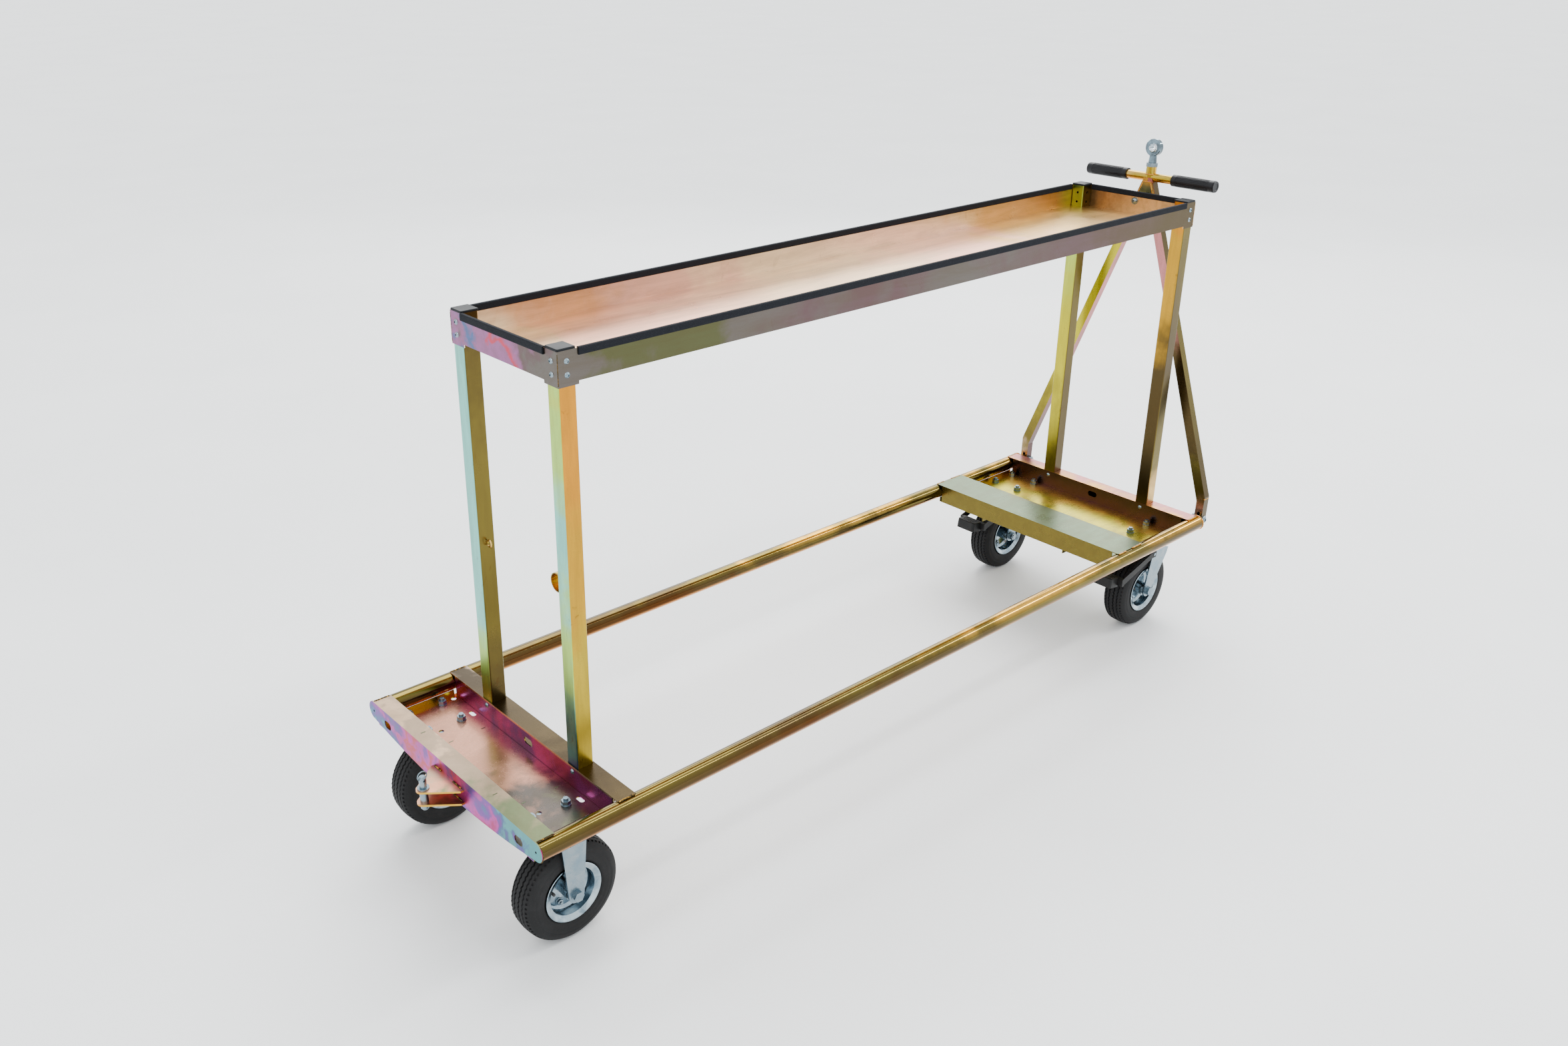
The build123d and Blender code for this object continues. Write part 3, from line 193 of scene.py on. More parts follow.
class Finish:
    """One material, built up node by node."""

    def __init__(self, name):
        self.material = bpy.data.materials.new(name)
        self.material.use_nodes = True
        self.tree = self.material.node_tree
        self.tree.nodes.clear()
        self.shader = self.node("ShaderNodeBsdfPrincipled", {}, {})
        output = self.node("ShaderNodeOutputMaterial", {}, {})
        self.tree.links.new(self.shader.node.outputs[0], output.node.inputs["Surface"])
        self.coords = self.node("ShaderNodeTexCoord", {}, {})

    def node(self, kind, settings, inputs):
        """Add any node: its settings first, then the values or wires of its sockets."""
        made = self.tree.nodes.new(kind)
        for key, value in settings.items():
            if key == "stops":
                self._stops(made.color_ramp, value)
            else:
                setattr(made, key, value)
        for key, value in inputs.items():
            self._plug(made.inputs[key], value)
        return Placed(self, made)

    def _plug(self, socket, value):
        if isinstance(value, Wire):
            self.tree.links.new(value.socket, socket)
        else:
            socket.default_value = value

    def _stops(self, ramp, stops):
        ramp.interpolation = "EASE"
        while len(ramp.elements) > 1:
            ramp.elements.remove(ramp.elements[-1])
        for index, (place, colour) in enumerate(stops):
            element = ramp.elements[0] if index == 0 else ramp.elements.new(place)
            element.position = place
            element.color = (*colour, 1.0)

    def position(self):
        """The piece's own coordinates."""
        return self.coords.out("Object")

    def parts(self, vector):
        """A vector's X, Y and Z."""
        split = self.node("ShaderNodeSeparateXYZ", {}, {0: vector})
        return [split.out(axis) for axis in range(3)]

    def stretched(self, scale):
        """The piece's own coordinates, scaled differently along each axis."""
        return self.node("ShaderNodeMapping", {}, {0: self.position(), "Scale": scale}).out(0)

    def noise(self, scale, detail=3.0, rough=0.55, twist=0.0, vector=None):
        """Cloudy noise from 0 to 1, in the piece's own coordinates unless a vector is given."""
        inputs = {"Vector": vector or self.position(), "Scale": scale, "Detail": detail,
                  "Roughness": rough, "Distortion": twist}
        return self.node("ShaderNodeTexNoise", {}, inputs).out(0)

    def ramp(self, value, stops):
        """A value turned into a colour by (place, colour) stops."""
        return self.node("ShaderNodeValToRGB", {"stops": stops}, {0: value}).out(0)

    def between(self, value, low, high, to_low=0.0, to_high=1.0):
        """Map a value smoothly from one range to another."""
        inputs = {"Value": value, 1: low, 2: high, 3: to_low, 4: to_high}
        return self.node("ShaderNodeMapRange", {"interpolation_type": "SMOOTHSTEP"}, inputs).out(0)

    def mix(self, factor, a, b, blend="MIX"):
        """Blend two colours or wires."""
        settings = {"data_type": "RGBA", "blend_type": blend, "clamp_factor": True}
        return self.node("ShaderNodeMix", settings, {0: factor, 6: opaque(a), 7: opaque(b)}).out(2)

    def bump(self, height, strength, distance):
        """A normal from a height."""
        inputs = {"Strength": strength, "Distance": distance, "Height": height}
        return self.node("ShaderNodeBump", {}, inputs).out(0)

    def set(self, **values):
        """Fill the shader's sockets, named with underscores, and hand back the material."""
        for key, value in values.items():
            self._plug(self.shader.node.inputs[key.replace("_", " ")], opaque(value))
        return self.material


# ---------------------------------------------------------------- finishes
GOLD = (0.62, 0.34, 0.045)
PALE_GOLD = (0.74, 0.46, 0.16)
ORANGE = (0.74, 0.26, 0.03)
LEMON = (0.47, 0.41, 0.02)
PEACH = (0.76, 0.37, 0.23)
CREAM = (0.50, 0.35, 0.23)
BUFF = (0.76, 0.51, 0.28)
SHELL = (0.97, 0.84, 0.68)
BLUSH = (0.86, 0.62, 0.56)
BRASS = (0.42, 0.30, 0.025)
AMBER = (0.52, 0.21, 0.015)
PINK = (0.44, 0.165, 0.165)
ROSE = (0.44, 0.028, 0.065)
MAGENTA = (0.36, 0.015, 0.13)
ORCHID = (0.40, 0.03, 0.27)
CLAY = (0.50, 0.25, 0.17)
HONEY = (0.45, 0.24, 0.018)
VIOLET = (0.14, 0.035, 0.27)
BLUE = (0.05, 0.10, 0.25)
TEAL = (0.06, 0.28, 0.30)
AQUA = (0.17, 0.48, 0.42)
MINT = (0.33, 0.52, 0.10)
SAGE = (0.20, 0.23, 0.11)
FERN = (0.09, 0.13, 0.07)
MOSS = (0.070, 0.073, 0.034)
OLIVE = (0.13, 0.10, 0.022)
BRONZE = (0.065, 0.045, 0.018)
SMOKE = (0.095, 0.083, 0.074)
MAUVE = (0.095, 0.058, 0.062)
LILAC = (0.24, 0.085, 0.20)
RUST = (0.07, 0.025, 0.006)
UMBER = (0.036, 0.024, 0.010)
SAND = (0.33, 0.24, 0.165)
LICHEN = (0.135, 0.165, 0.085)


def passivate_and_paint_reflections(name, tops, sides, ends, axis=0, low=-1.0, high=1.0, cloud=4.0, wobble=0.5, rough=0.3,
              stain=0.3, round_section=False, zones=(), end_width=0.0):
    """Yellow zinc with its interference colours and painted reflections: a ramp each for faces that look
    along Z, Y and X, partly the zinc's own colour and partly the reflection each face shows.

    The ramps run along an axis from low to high, broken up by noise.
    A zone is (axis that its faces look along, axis of place, edge, ramp) and takes over beyond its edge.
    With an end width, faces that look along X run their ramp across Y over that width.
    """
    finish = Finish(name)
    place = finish.parts(finish.position())
    normal = finish.parts(finish.coords.out("Normal"))
    facing = [abs(part) for part in normal]
    drift = finish.noise(cloud, 3.0, 0.5, 0.9) - 0.5
    veil = finish.noise(cloud * 3.7, 4.0, 0.6, 0.4) - 0.5
    field = (place[axis] - low) / (high - low) + drift * (2 * wobble) + veil * (0.9 * wobble)
    end_field = place[1] / end_width + 0.5 + drift * 1.4 + veil * 0.6 if end_width else field
    # The tops, sides and ends ramps are partly the zinc's interference colours and partly painted
    # reflections of what each face sees.
    looks = [finish.ramp(end_field, ends), finish.ramp(field, sides), finish.ramp(field, tops)]
    blur = 0.0015
    for look, way, edge, stops in zones:
        beyond = finish.between(place[way], edge - blur, edge + blur)
        looks[look] = finish.mix(beyond, looks[look], finish.ramp(field if look else end_field, stops))
    soft = (0.15, 0.95) if round_section else (0.55, 0.8)
    colour = finish.mix(finish.between(facing[0], *soft), looks[1], looks[0])
    colour = finish.mix(finish.between(facing[2], *soft), colour, looks[2])
    # On round sections, faces that look down get a painted orange reflection of the floor.
    if round_section:
        colour = finish.mix(finish.between(normal[2], -0.1, -0.75), colour, ORANGE)
    spots = finish.noise(30.0, 6.0, 0.7, 1.6, finish.stretched((1.0, 1.0, 0.55)))
    colour = finish.mix(finish.between(spots, 0.62, 0.70, 0.0, stain), colour, RUST)
    pull = ((0.6, 5.0, 5.0), (1.0, 1.0, 1.0), (5.0, 5.0, 0.6))[axis]
    streaks = finish.noise(9.0, 5.0, 0.7, 0.6, finish.stretched(pull))
    colour = finish.mix(finish.between(streaks, 0.35, 0.65, 0.0, 0.22), colour, BRONZE)
    grain = finish.noise(900.0, 2.0, 0.6)
    colour = finish.mix(finish.between(grain, 0.3, 0.7, 0.0, 0.10), colour, (1.0, 0.97, 0.9), "SOFT_LIGHT")
    scuffs = finish.noise(7.0, 5.0, 0.75, 2.5, finish.stretched((6.0, 6.0, 40.0)))
    gloss = rough + (veil * 0.16) + finish.between(scuffs, 0.58, 0.72, 0.0, 0.12)
    relief = finish.noise(260.0, 3.0, 0.6) * 0.6 + grain * 0.4
    return finish.set(Base_Color=colour, Metallic=1.0, Roughness=gloss,
                      Normal=finish.bump(relief, 0.12, 0.0002))


def bright_zinc(name, colour, rough=0.28):
    """Blue-white zinc on hardware: cloudy plating over a fine grain."""
    finish = Finish(name)
    cloud = finish.noise(38.0, 4.0, 0.6, 0.6)
    tint = finish.mix(finish.between(cloud, 0.35, 0.7), colour, (0.17, 0.24, 0.29))
    dull = finish.noise(140.0, 5.0, 0.7)
    tint = finish.mix(finish.between(dull, 0.55, 0.75, 0.0, 0.35), tint, (0.20, 0.20, 0.18))
    return finish.set(Base_Color=tint, Metallic=1.0, Roughness=rough + (cloud - 0.5) * 0.2,
                      Normal=finish.bump(finish.noise(520.0, 3.0), 0.15, 0.0002))


def rubber(name, colour, rough=0.7, scale=420.0, dust=0.35, strength=0.35, shine=0.22):
    """Moulded rubber or plastic: fine grain, and dust that lightens it in patches."""
    finish = Finish(name)
    patches = finish.noise(22.0, 5.0, 0.65, 0.5)
    grain = finish.noise(scale, 4.0, 0.7)
    pale = tuple(min(1.0, channel * 2.4 + 0.006) for channel in colour)
    tint = finish.mix(finish.between(patches, 0.45, 0.75, 0.0, dust), tuple(colour), pale)
    tint = finish.mix(finish.between(grain, 0.5, 0.75, 0.0, 0.35), tint, pale)
    return finish.set(Base_Color=tint, Specular_IOR_Level=shine, Roughness=rough + (patches - 0.5) * 0.18,
                      Normal=finish.bump(grain, strength, 0.0004))


def leathery_trim(name, colour):
    """Edge trim: soft rubber with a leather grain."""
    finish = Finish(name)
    cells = finish.node("ShaderNodeTexVoronoi", {"feature": "SMOOTH_F1"},
                        {"Vector": finish.position(), "Scale": 520.0, "Smoothness": 0.6}).out(0)
    grain = finish.noise(650.0, 3.0, 0.7)
    patches = finish.noise(30.0, 4.0)
    tint = finish.mix(finish.between(grain, 0.48, 0.7, 0.0, 0.6), tuple(colour), (0.022, 0.025, 0.032))
    return finish.set(Base_Color=tint, Specular_IOR_Level=0.08, Roughness=0.6 + patches * 0.2,
                      Normal=finish.bump(cells * 0.6 + grain * 0.4, 0.6, 0.0007))


def paint(node, material):
    """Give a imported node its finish."""
    slots = NODES[node].data.materials
    if len(slots) == 0:
        slots.append(material)
    for index in range(len(slots)):
        slots[index] = material


# ---------------------------------------------------------------- modelling by hand, in code
def clear():
    """Leave edit mode and select nothing."""
    if bpy.context.object is not None and bpy.context.object.mode != "OBJECT":
        bpy.ops.object.mode_set(mode="OBJECT")
    bpy.ops.object.select_all(action="DESELECT")


def choose(*pieces):
    """Select these pieces only, with the first one active."""
    clear()
    for piece in pieces:
        piece.select_set(True)
    bpy.context.view_layer.objects.active = pieces[0]


def edit(piece, kind="VERT"):
    """Open a piece in edit mode with nothing selected."""
    choose(piece)
    bpy.ops.object.mode_set(mode="EDIT")
    bpy.ops.mesh.select_mode(type=kind)
    bpy.ops.mesh.select_all(action="DESELECT")


def extrude(step):
    """Extrude the selected faces by a step."""
    bpy.ops.mesh.extrude_region_move(TRANSFORM_OT_translate={"value": step})


def pick(piece, test, kind="verts"):
    """Select the vertices or faces that pass a test on their place and normal."""
    mesh = bmesh.from_edit_mesh(piece.data)
    count = 0
    for part in getattr(mesh, kind):
        place = part.co if kind == "verts" else part.calc_center_median()
        chosen = bool(test(piece.matrix_world @ place, part.normal))
        part.select_set(chosen)
        count += chosen
    mesh.select_flush_mode()
    bmesh.update_edit_mesh(piece.data)
    if count == 0:
        raise RuntimeError(f"nothing was selected on {piece.name}")


def trace(name, points):
    """Draw a closed line through points, by extruding one vertex along it."""
    clear()
    bpy.ops.mesh.primitive_plane_add(size=0.001, location=points[0])
    piece = bpy.context.object
    piece.name = name
    edit(piece)
    bpy.ops.mesh.select_all(action="SELECT")
    bpy.ops.mesh.merge(type="CENTER")
    for before, after in zip(points, points[1:]):
        step = Vector(after) - Vector(before)
        bpy.ops.mesh.extrude_vertices_move(TRANSFORM_OT_translate={"value": step})
    ends = (Vector(points[0]), Vector(points[-1]))
    pick(piece, lambda place, _: min((place - end).length for end in ends) < 10 * SAME_PLACE)
    bpy.ops.mesh.edge_face_add()
    return piece


def clean():
    """In edit mode, merge doubles and point every face outwards."""
    bpy.ops.mesh.select_all(action="SELECT")
    bpy.ops.mesh.remove_doubles(threshold=SAME_PLACE)
    bpy.ops.mesh.normals_make_consistent(inside=False)


def settle(piece):
    """Put a piece's place, turn and scale into its mesh."""
    choose(piece)
    bpy.ops.object.transform_apply(location=True, rotation=True, scale=True)


def seat(piece, body, material, smooth=35.0):
    """Settle a finished piece, shade it, paint it and set it on its body."""
    settle(piece)
    bpy.ops.object.shade_smooth_by_angle(angle=math.radians(smooth))
    piece.data.materials.clear()
    piece.data.materials.append(material)
    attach(piece, body)
    return piece


def copied(piece, name, move):
    """A copy with its own mesh, moved by a matrix."""
    twin = piece.copy()
    twin.data = piece.data.copy()
    twin.name = name
    twin.data.transform(move)
    bpy.context.scene.collection.objects.link(twin)
    return twin


def joined(name, pieces):
    """One mesh from several."""
    choose(*pieces)
    bpy.ops.object.join()
    pieces[0].name = name
    return pieces[0]


def roughened(piece, offset, seed):
    """Shift a piece's vertices a little, the same way each run."""
    edit(piece)
    bpy.ops.mesh.select_all(action="SELECT")
    bpy.ops.transform.vertex_random(offset=offset, uniform=0.6, normal=0.4, seed=seed)
    bpy.ops.object.mode_set(mode="OBJECT")
    return piece


def soften(piece, width):
    """Round the sharp edges with an applied Bevel modifier."""
    choose(piece)
    bevel = piece.modifiers.new("edges", "BEVEL")
    bevel.width = width
    bevel.segments = 2
    bevel.limit_method = "ANGLE"
    bevel.angle_limit = math.radians(32)
    bpy.ops.object.modifier_apply(modifier=bevel.name)
    return piece


def axes(x, y, z):
    """A turn whose axes are three unit vectors."""
    return Matrix((x, y, z)).transposed().to_4x4()


def leaned(x, y, z):
    """A place on the leaning drawbar, measured from its hinge."""
    return Vector((HINGE.x + x * math.cos(LEAN) + z * math.sin(LEAN), y,
                   HINGE.z - x * math.sin(LEAN) + z * math.cos(LEAN)))


# ---------------------------------------------------------------- operators
class DOLLY_OT_sheet(bpy.types.Operator):
    """Zinc finishes of the folded sheet: end walls, pans, tray and clevis"""

    bl_idname = "dolly.sheet"
    bl_label = "Sheet finishes"

    def execute(self, context):
        post_wall = TRAY_LOW.x - 0.001
        # Faces that look along X in pan A's top 4 mm get a painted highlight line, cream to peach, along the
        # wall's top edge.
        edge_highlight_from = PAN_A_HIGH.z - 0.004
        wall = passivate_and_paint_reflections(
            "zinc_end_wall", [(0.1, LICHEN), (0.4, SAND), (0.7, SAND), (0.8, CREAM), (1, SAND)],
            [(0, MAGENTA), (1, VIOLET)],
            [(0.0, TEAL), (0.13, TEAL), (0.20, BLUE), (0.27, VIOLET), (0.36, ORCHID), (0.46, MAGENTA),
             (0.54, VIOLET), (0.62, ORCHID), (0.69, ROSE), (0.76, ORCHID), (0.84, VIOLET), (0.93, BLUE),
             (1.0, TEAL)],
            axis=1, low=-0.34, high=0.34, cloud=8.0, wobble=0.45, rough=0.34, stain=0.1)
        pan_a = passivate_and_paint_reflections(
            "zinc_pan_a", [(0.0, SAGE), (0.25, SMOKE), (0.5, CLAY), (0.85, CLAY), (1.0, PINK)],
            [(0, OLIVE), (0.5, GOLD), (1, LEMON)],
            [(0.0, VIOLET), (0.15, ORCHID), (0.3, MAGENTA), (0.45, ORCHID), (0.6, VIOLET), (0.75, ORCHID),
             (0.9, ORCHID), (1.0, VIOLET)],
            axis=1, low=-0.33, high=0.33, cloud=7.0, wobble=0.32, rough=0.26, stain=0.12,
            zones=((2, 0, post_wall, [(0, BRONZE), (0.25, UMBER), (0.5, BRONZE), (0.88, UMBER), (0.95, SAND),
                                      (1, PEACH)]),
                   # painted highlight line along the top edge of the wall
                   (0, 2, edge_highlight_from, [(0, CREAM), (1, PEACH)])))
        pan_b = passivate_and_paint_reflections(
            "zinc_pan_b", [(0.0, FERN), (0.26, FERN), (0.42, OLIVE), (0.6, LEMON), (0.8, GOLD), (1.0, PINK)],
            [(0, OLIVE), (1, GOLD)], [(0, OLIVE), (0.5, OLIVE), (0.85, MAUVE), (1, MAUVE)],
            axis=0, low=PAN_B_LOW.x, high=PAN_B_HIGH.x, cloud=6.0, wobble=0.22, rough=0.28, stain=0.12)
        # The tray's faces that look along Y carry painted reflections: the sides ramp paints the near wall
        # dark, and the zone beyond y = 0 paints the far wall pale.
        tray = passivate_and_paint_reflections(
            "zinc_tray",
            [(0.0, BUFF), (0.12, PEACH), (0.45, BUFF), (0.7, PEACH), (0.85, GOLD), (1, PALE_GOLD)],
            [(0.0, SMOKE), (0.06, MOSS), (0.18, MOSS), (0.26, SMOKE), (0.4, MAUVE), (0.55, SMOKE),
             (0.7, MAUVE), (1, BRONZE)],
            [(0.0, SMOKE), (0.15, MAUVE), (0.3, LILAC), (0.42, ROSE), (0.5, LILAC), (0.68, LILAC),
             (0.8, BLUE), (0.9, LILAC), (1.0, SMOKE)],
            axis=0, low=TRAY_LOW.x, high=TRAY_HIGH.x, cloud=5.0, wobble=0.15, rough=0.3, stain=0.15,
            end_width=0.36,
            # painted pale reflection on the far wall
            zones=((1, 1, 0.0, [(0.0, SHELL), (0.12, BUFF), (0.25, BLUSH), (0.36, SHELL), (0.7, SHELL),
                                (0.85, BUFF), (1, PALE_GOLD)]),
                   (0, 0, 0.0, [(0.0, SAND), (0.5, BUFF), (1.0, SAND)])))
        clevis = passivate_and_paint_reflections(
            "zinc_clevis", [(0, SAGE), (0.4, PEACH), (0.7, CREAM), (1, PINK)], [(0, GOLD), (1, LEMON)],
            [(0, GOLD), (1, ORANGE)], axis=1, low=-0.06, high=0.06, cloud=14.0, wobble=0.4, stain=0.1)
        paint("end_wall_a", wall)
        paint("pan_a", pan_a)
        for node in ("pan_b", "end_wall_b", "pan_ribs"):
            paint(node, pan_b)
        paint("tray", tray)
        paint("clevis_plates", clevis)
        return {"FINISHED"}


class DOLLY_OT_tubes(bpy.types.Operator):
    """Zinc finishes of the rails, posts, drawbar and small sockets"""

    bl_idname = "dolly.tubes"
    bl_label = "Tube finishes"

    def execute(self, context):
        # The rail's dark sides ramp is a painted dark reflection band, and round_section paints its
        # underside orange as a reflection of the floor.
        rail = passivate_and_paint_reflections(
            "zinc_rail", [(0, OLIVE), (0.3, BRONZE), (0.5, OLIVE), (0.7, GOLD), (0.85, OLIVE), (1, GOLD)],
            [(0, BRONZE), (0.3, RUST), (0.5, BRONZE), (0.75, OLIVE), (1, BRONZE)], [(0, GOLD), (1, GOLD)],
            axis=0, low=-1.05, high=1.05, cloud=5.0, wobble=0.3, rough=0.14, stain=0.2, round_section=True)
        for node in ("rail_near", "rail_far"):
            paint(node, rail)
        # The posts' ramps carry painted reflections: the far posts' dark sides, and the dark lower half of
        # post_b_near's end faces, a painted reflection of the tyres.
        looks = {
            "post_a_near": ([(0, BRASS), (0.3, BRASS), (0.55, HONEY), (0.8, AMBER), (1, AMBER)],
                            [(0, BLUE), (0.12, TEAL), (0.4, MINT), (0.6, AQUA), (0.8, MINT), (1, LEMON)]),
            "post_a_far": ([(0, BRONZE), (0.3, OLIVE), (0.7, OLIVE), (1, BRONZE)],
                           [(0, LEMON), (0.15, MINT), (0.35, AQUA), (0.7, AQUA), (0.9, AQUA), (1, MINT)]),
            "post_b_near": ([(0, PALE_GOLD), (0.2, OLIVE), (0.5, BRONZE), (1, OLIVE)],
                            [(0, BRONZE), (0.5, BRONZE), (0.7, HONEY), (0.88, HONEY), (1, AMBER)]),
            "post_b_far": ([(0, BRONZE), (1, OLIVE)],
                           [(0, OLIVE), (0.5, LEMON), (1, MINT)]),
        }
        for node, (sides, ends) in looks.items():
            low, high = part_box(node)
            material = passivate_and_paint_reflections(
                "zinc_" + node, [(0, GOLD), (1, GOLD)], sides, ends, axis=2, low=low.z, high=high.z,
                cloud=5.0, wobble=0.22, rough=0.3, stain=0.45)
            paint(node, material)
        foot, top = HINGE.z, HANDLE.z
        # The near leg's dark bronze stops are a painted dark reflection.
        near_leg = passivate_and_paint_reflections(
            "zinc_leg_near", [(0, GOLD), (1, GOLD)], [(0, BRONZE), (0.5, OLIVE), (1, BRONZE)],
            [(0, CREAM), (0.08, OLIVE), (0.2, BRONZE), (0.5, BRONZE), (0.7, PINK), (1, PINK)],
            axis=2, low=foot, high=top, cloud=5.0, wobble=0.15, rough=0.27, stain=0.3)
        far_leg = passivate_and_paint_reflections(
            "zinc_leg_far", [(0, GOLD), (1, GOLD)], [(0, MAUVE), (0.6, PINK), (1, MAUVE)],
            [(0, CREAM), (0.1, OLIVE), (0.45, LEMON), (0.8, LEMON), (1, GOLD)],
            axis=2, low=foot, high=top, cloud=5.0, wobble=0.2, rough=0.27, stain=0.3)
        # round_section paints the handle's underside orange, a painted reflection of the floor.
        gold = passivate_and_paint_reflections(
            "zinc_handle", [(0, BRASS), (1, PALE_GOLD)], [(0, BRASS), (0.5, GOLD), (1, BRASS)],
            [(0, OLIVE), (0.4, BRASS), (1, PALE_GOLD)], axis=1, low=-0.12, high=0.12, cloud=16.0,
            wobble=0.4, rough=0.24, stain=0.15, round_section=True)
        gusset = passivate_and_paint_reflections(
            "zinc_gusset", [(0, GOLD), (1, GOLD)], [(0, GOLD), (1, OLIVE)],
            [(0, OLIVE), (0.5, SAGE), (1, GOLD)], axis=2, low=top - 0.08, high=top, cloud=18.0,
            wobble=0.3, rough=0.3, stain=0.2)
        paint("drawbar_leg_near", near_leg)
        paint("drawbar_leg_far", far_leg)
        paint("drawbar_gusset", gusset)
        for node in ("handle_tube", "eye_boss", "bar_socket", "ring_clip", "drawbar_lugs"):
            paint(node, gold)
        return {"FINISHED"}


class DOLLY_OT_hardware(bpy.types.Operator):
    """Bright zinc and polished finishes of castors, screws, pin and eye"""

    bl_idname = "dolly.hardware"
    bl_label = "Hardware finishes"

    def execute(self, context):
        colour = tuple(context.scene.dolly_colours.bright)
        plated = bright_zinc("bright_zinc", colour)
        glossy = bright_zinc("bright_zinc_rims", tuple(part * 1.5 for part in colour), 0.16)
        # The rod end's zinc is 0.28 of the bright colour, a painted dark reflection.
        eye = bright_zinc("bright_zinc_eye", tuple(part * 0.28 for part in colour), 0.14)
        ball = bright_zinc("polished_ball", (0.74, 0.75, 0.77), 0.08)
        plated_endings = ("_fork", "_hub", "_axle", "_plates", "_bolts", "_nuts", "_screws", "_nut")
        for node in NODES:
            if node.endswith("_rim"):
                paint(node, glossy)
            elif node.endswith(plated_endings) and node != "clevis_plates":
                paint(node, plated)
        for node in ("kingpins", "tow_pin", "latch_screw"):
            paint(node, plated)
        paint("rod_end", eye)
        paint("rod_end_ball", ball)
        return {"FINISHED"}


class DOLLY_OT_blacks(bpy.types.Operator):
    """Black trims, post caps, magnet and pedals"""

    bl_idname = "dolly.blacks"
    bl_label = "Black finishes"

    def execute(self, context):
        colours = context.scene.dolly_colours
        trim = leathery_trim("trim_rubber", colours.trim)
        cap = rubber("cap_plastic", (0.006, 0.007, 0.009), 0.42, 700.0, 0.3, 0.12, 0.10)
        pedal = rubber("pedal_plastic", (0.006, 0.006, 0.006), 0.5, 500.0, 0.4, 0.3)
        for node in ("edge_trims_long", "edge_trims_short"):
            paint(node, trim)
        for node in ("post_caps", "latch_magnet"):
            paint(node, cap)
        for side in SIDES:
            paint(f"castor_b_{side}_pedal", pedal)
        return {"FINISHED"}


def tyre_section(radius, half, bead, sizes):
    """Half a tyre's outline as (across, out) points, from its tread's middle to its bead."""
    depth = sizes.groove_depth
    wide = sizes.groove_half
    crown = [(0.0, radius)]
    for groove, drop in ((0.0062, 0.0001), (0.0166, 0.0011)):
        crown += [(groove - wide, radius - drop), (groove - wide * 0.6, radius - drop - depth),
                  (groove + wide * 0.6, radius - drop - depth - 0.0002),
                  (groove + wide, radius - drop - 0.0003)]
    shoulder = [(0.0222, 0.0030), (0.0255, 0.0054), (0.0278, 0.0088)]
    ribs = [(0.0022, 0.0150), (0.0009, 0.0196), (0.0012, 0.0204), (0.0002, 0.0230), (0.0003, 0.0285),
            (0.0014, 0.0350), (0.0012, 0.0362), (0.0030, 0.0395)]
    heel = [(0.0042, 0.0014), (0.0066, 0.0), (0.0105, -0.0060)]
    return (crown + [(across, radius - drop) for across, drop in shoulder]
            + [(half - inset, radius - drop) for inset, drop in ribs]
            + [(half - inset, bead + rise) for inset, rise in heel])


class DOLLY_OT_tyres(bpy.types.Operator):
    """Air tyres with zigzag grooves, shoulder notches and ribbed walls"""

    bl_idname = "dolly.tyres"
    bl_label = "Tyres"

    def execute(self, context):
        sizes = context.scene.dolly_sizes
        steps = sizes.tread_steps
        low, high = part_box("castor_a_near_tyre")
        hub = (low + high) / 2
        radius = (high.z - low.z) / 2
        half = (high.y - low.y) / 2
        rim_low, rim_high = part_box("castor_a_near_rim")
        bead = (rim_high.z - rim_low.z) / 2
        section = tyre_section(radius, half, bead, sizes)
        mirrored = [(-across, out) for across, out in reversed(section[1:])]
        points = [(hub.x, hub.y + across, hub.z + out) for across, out in mirrored + section]
        tyre = trace("castor_a_near_tread", points)
        bpy.ops.mesh.select_all(action="SELECT")
        bpy.ops.mesh.spin(steps=steps, angle=TURN, center=hub, axis=(0, 1, 0))
        clean()

        def turned(place):
            return (math.atan2(place.x - hub.x, place.z - hub.z) % TURN) / TURN * steps

        def out_of(place):
            return math.hypot(place.x - hub.x, place.z - hub.z)

        tread_half, groove_floor = 0.0205, radius - 0.0052

        def swings(place, _):
            on_tread = out_of(place) > groove_floor and abs(place.y - hub.y) < tread_half
            return on_tread and round(turned(place)) % 2

        pick(tyre, swings)
        bpy.ops.transform.translate(value=(0, sizes.zigzag, 0))
        bpy.ops.mesh.select_mode(type="FACE")
        shoulder_from, shoulder_low, shoulder_high = 0.0215, radius - 0.0056, radius - 0.0028

        def notch(place, _):
            beside_tread = abs(place.y - hub.y) > shoulder_from
            on_shoulder = beside_tread and shoulder_low < out_of(place) < shoulder_high
            return on_shoulder and int(turned(place)) % 2 == 0

        pick(tyre, notch, "faces")
        bpy.ops.mesh.inset(thickness=0.0004, depth=-0.0018, use_individual=True)
        material = rubber("tyre_rubber", context.scene.dolly_colours.rubber)
        seat(tyre, "wheel_a_near", material, 50.0)
        for name in OTHER_CASTORS:
            twin = copied(tyre, name + "_tread", Matrix.Translation(middle(name + "_tyre") - hub))
            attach(twin, name.replace("castor", "wheel"))
            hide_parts(name + "_tyre")
        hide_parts("castor_a_near_tyre")
        return {"FINISHED"}


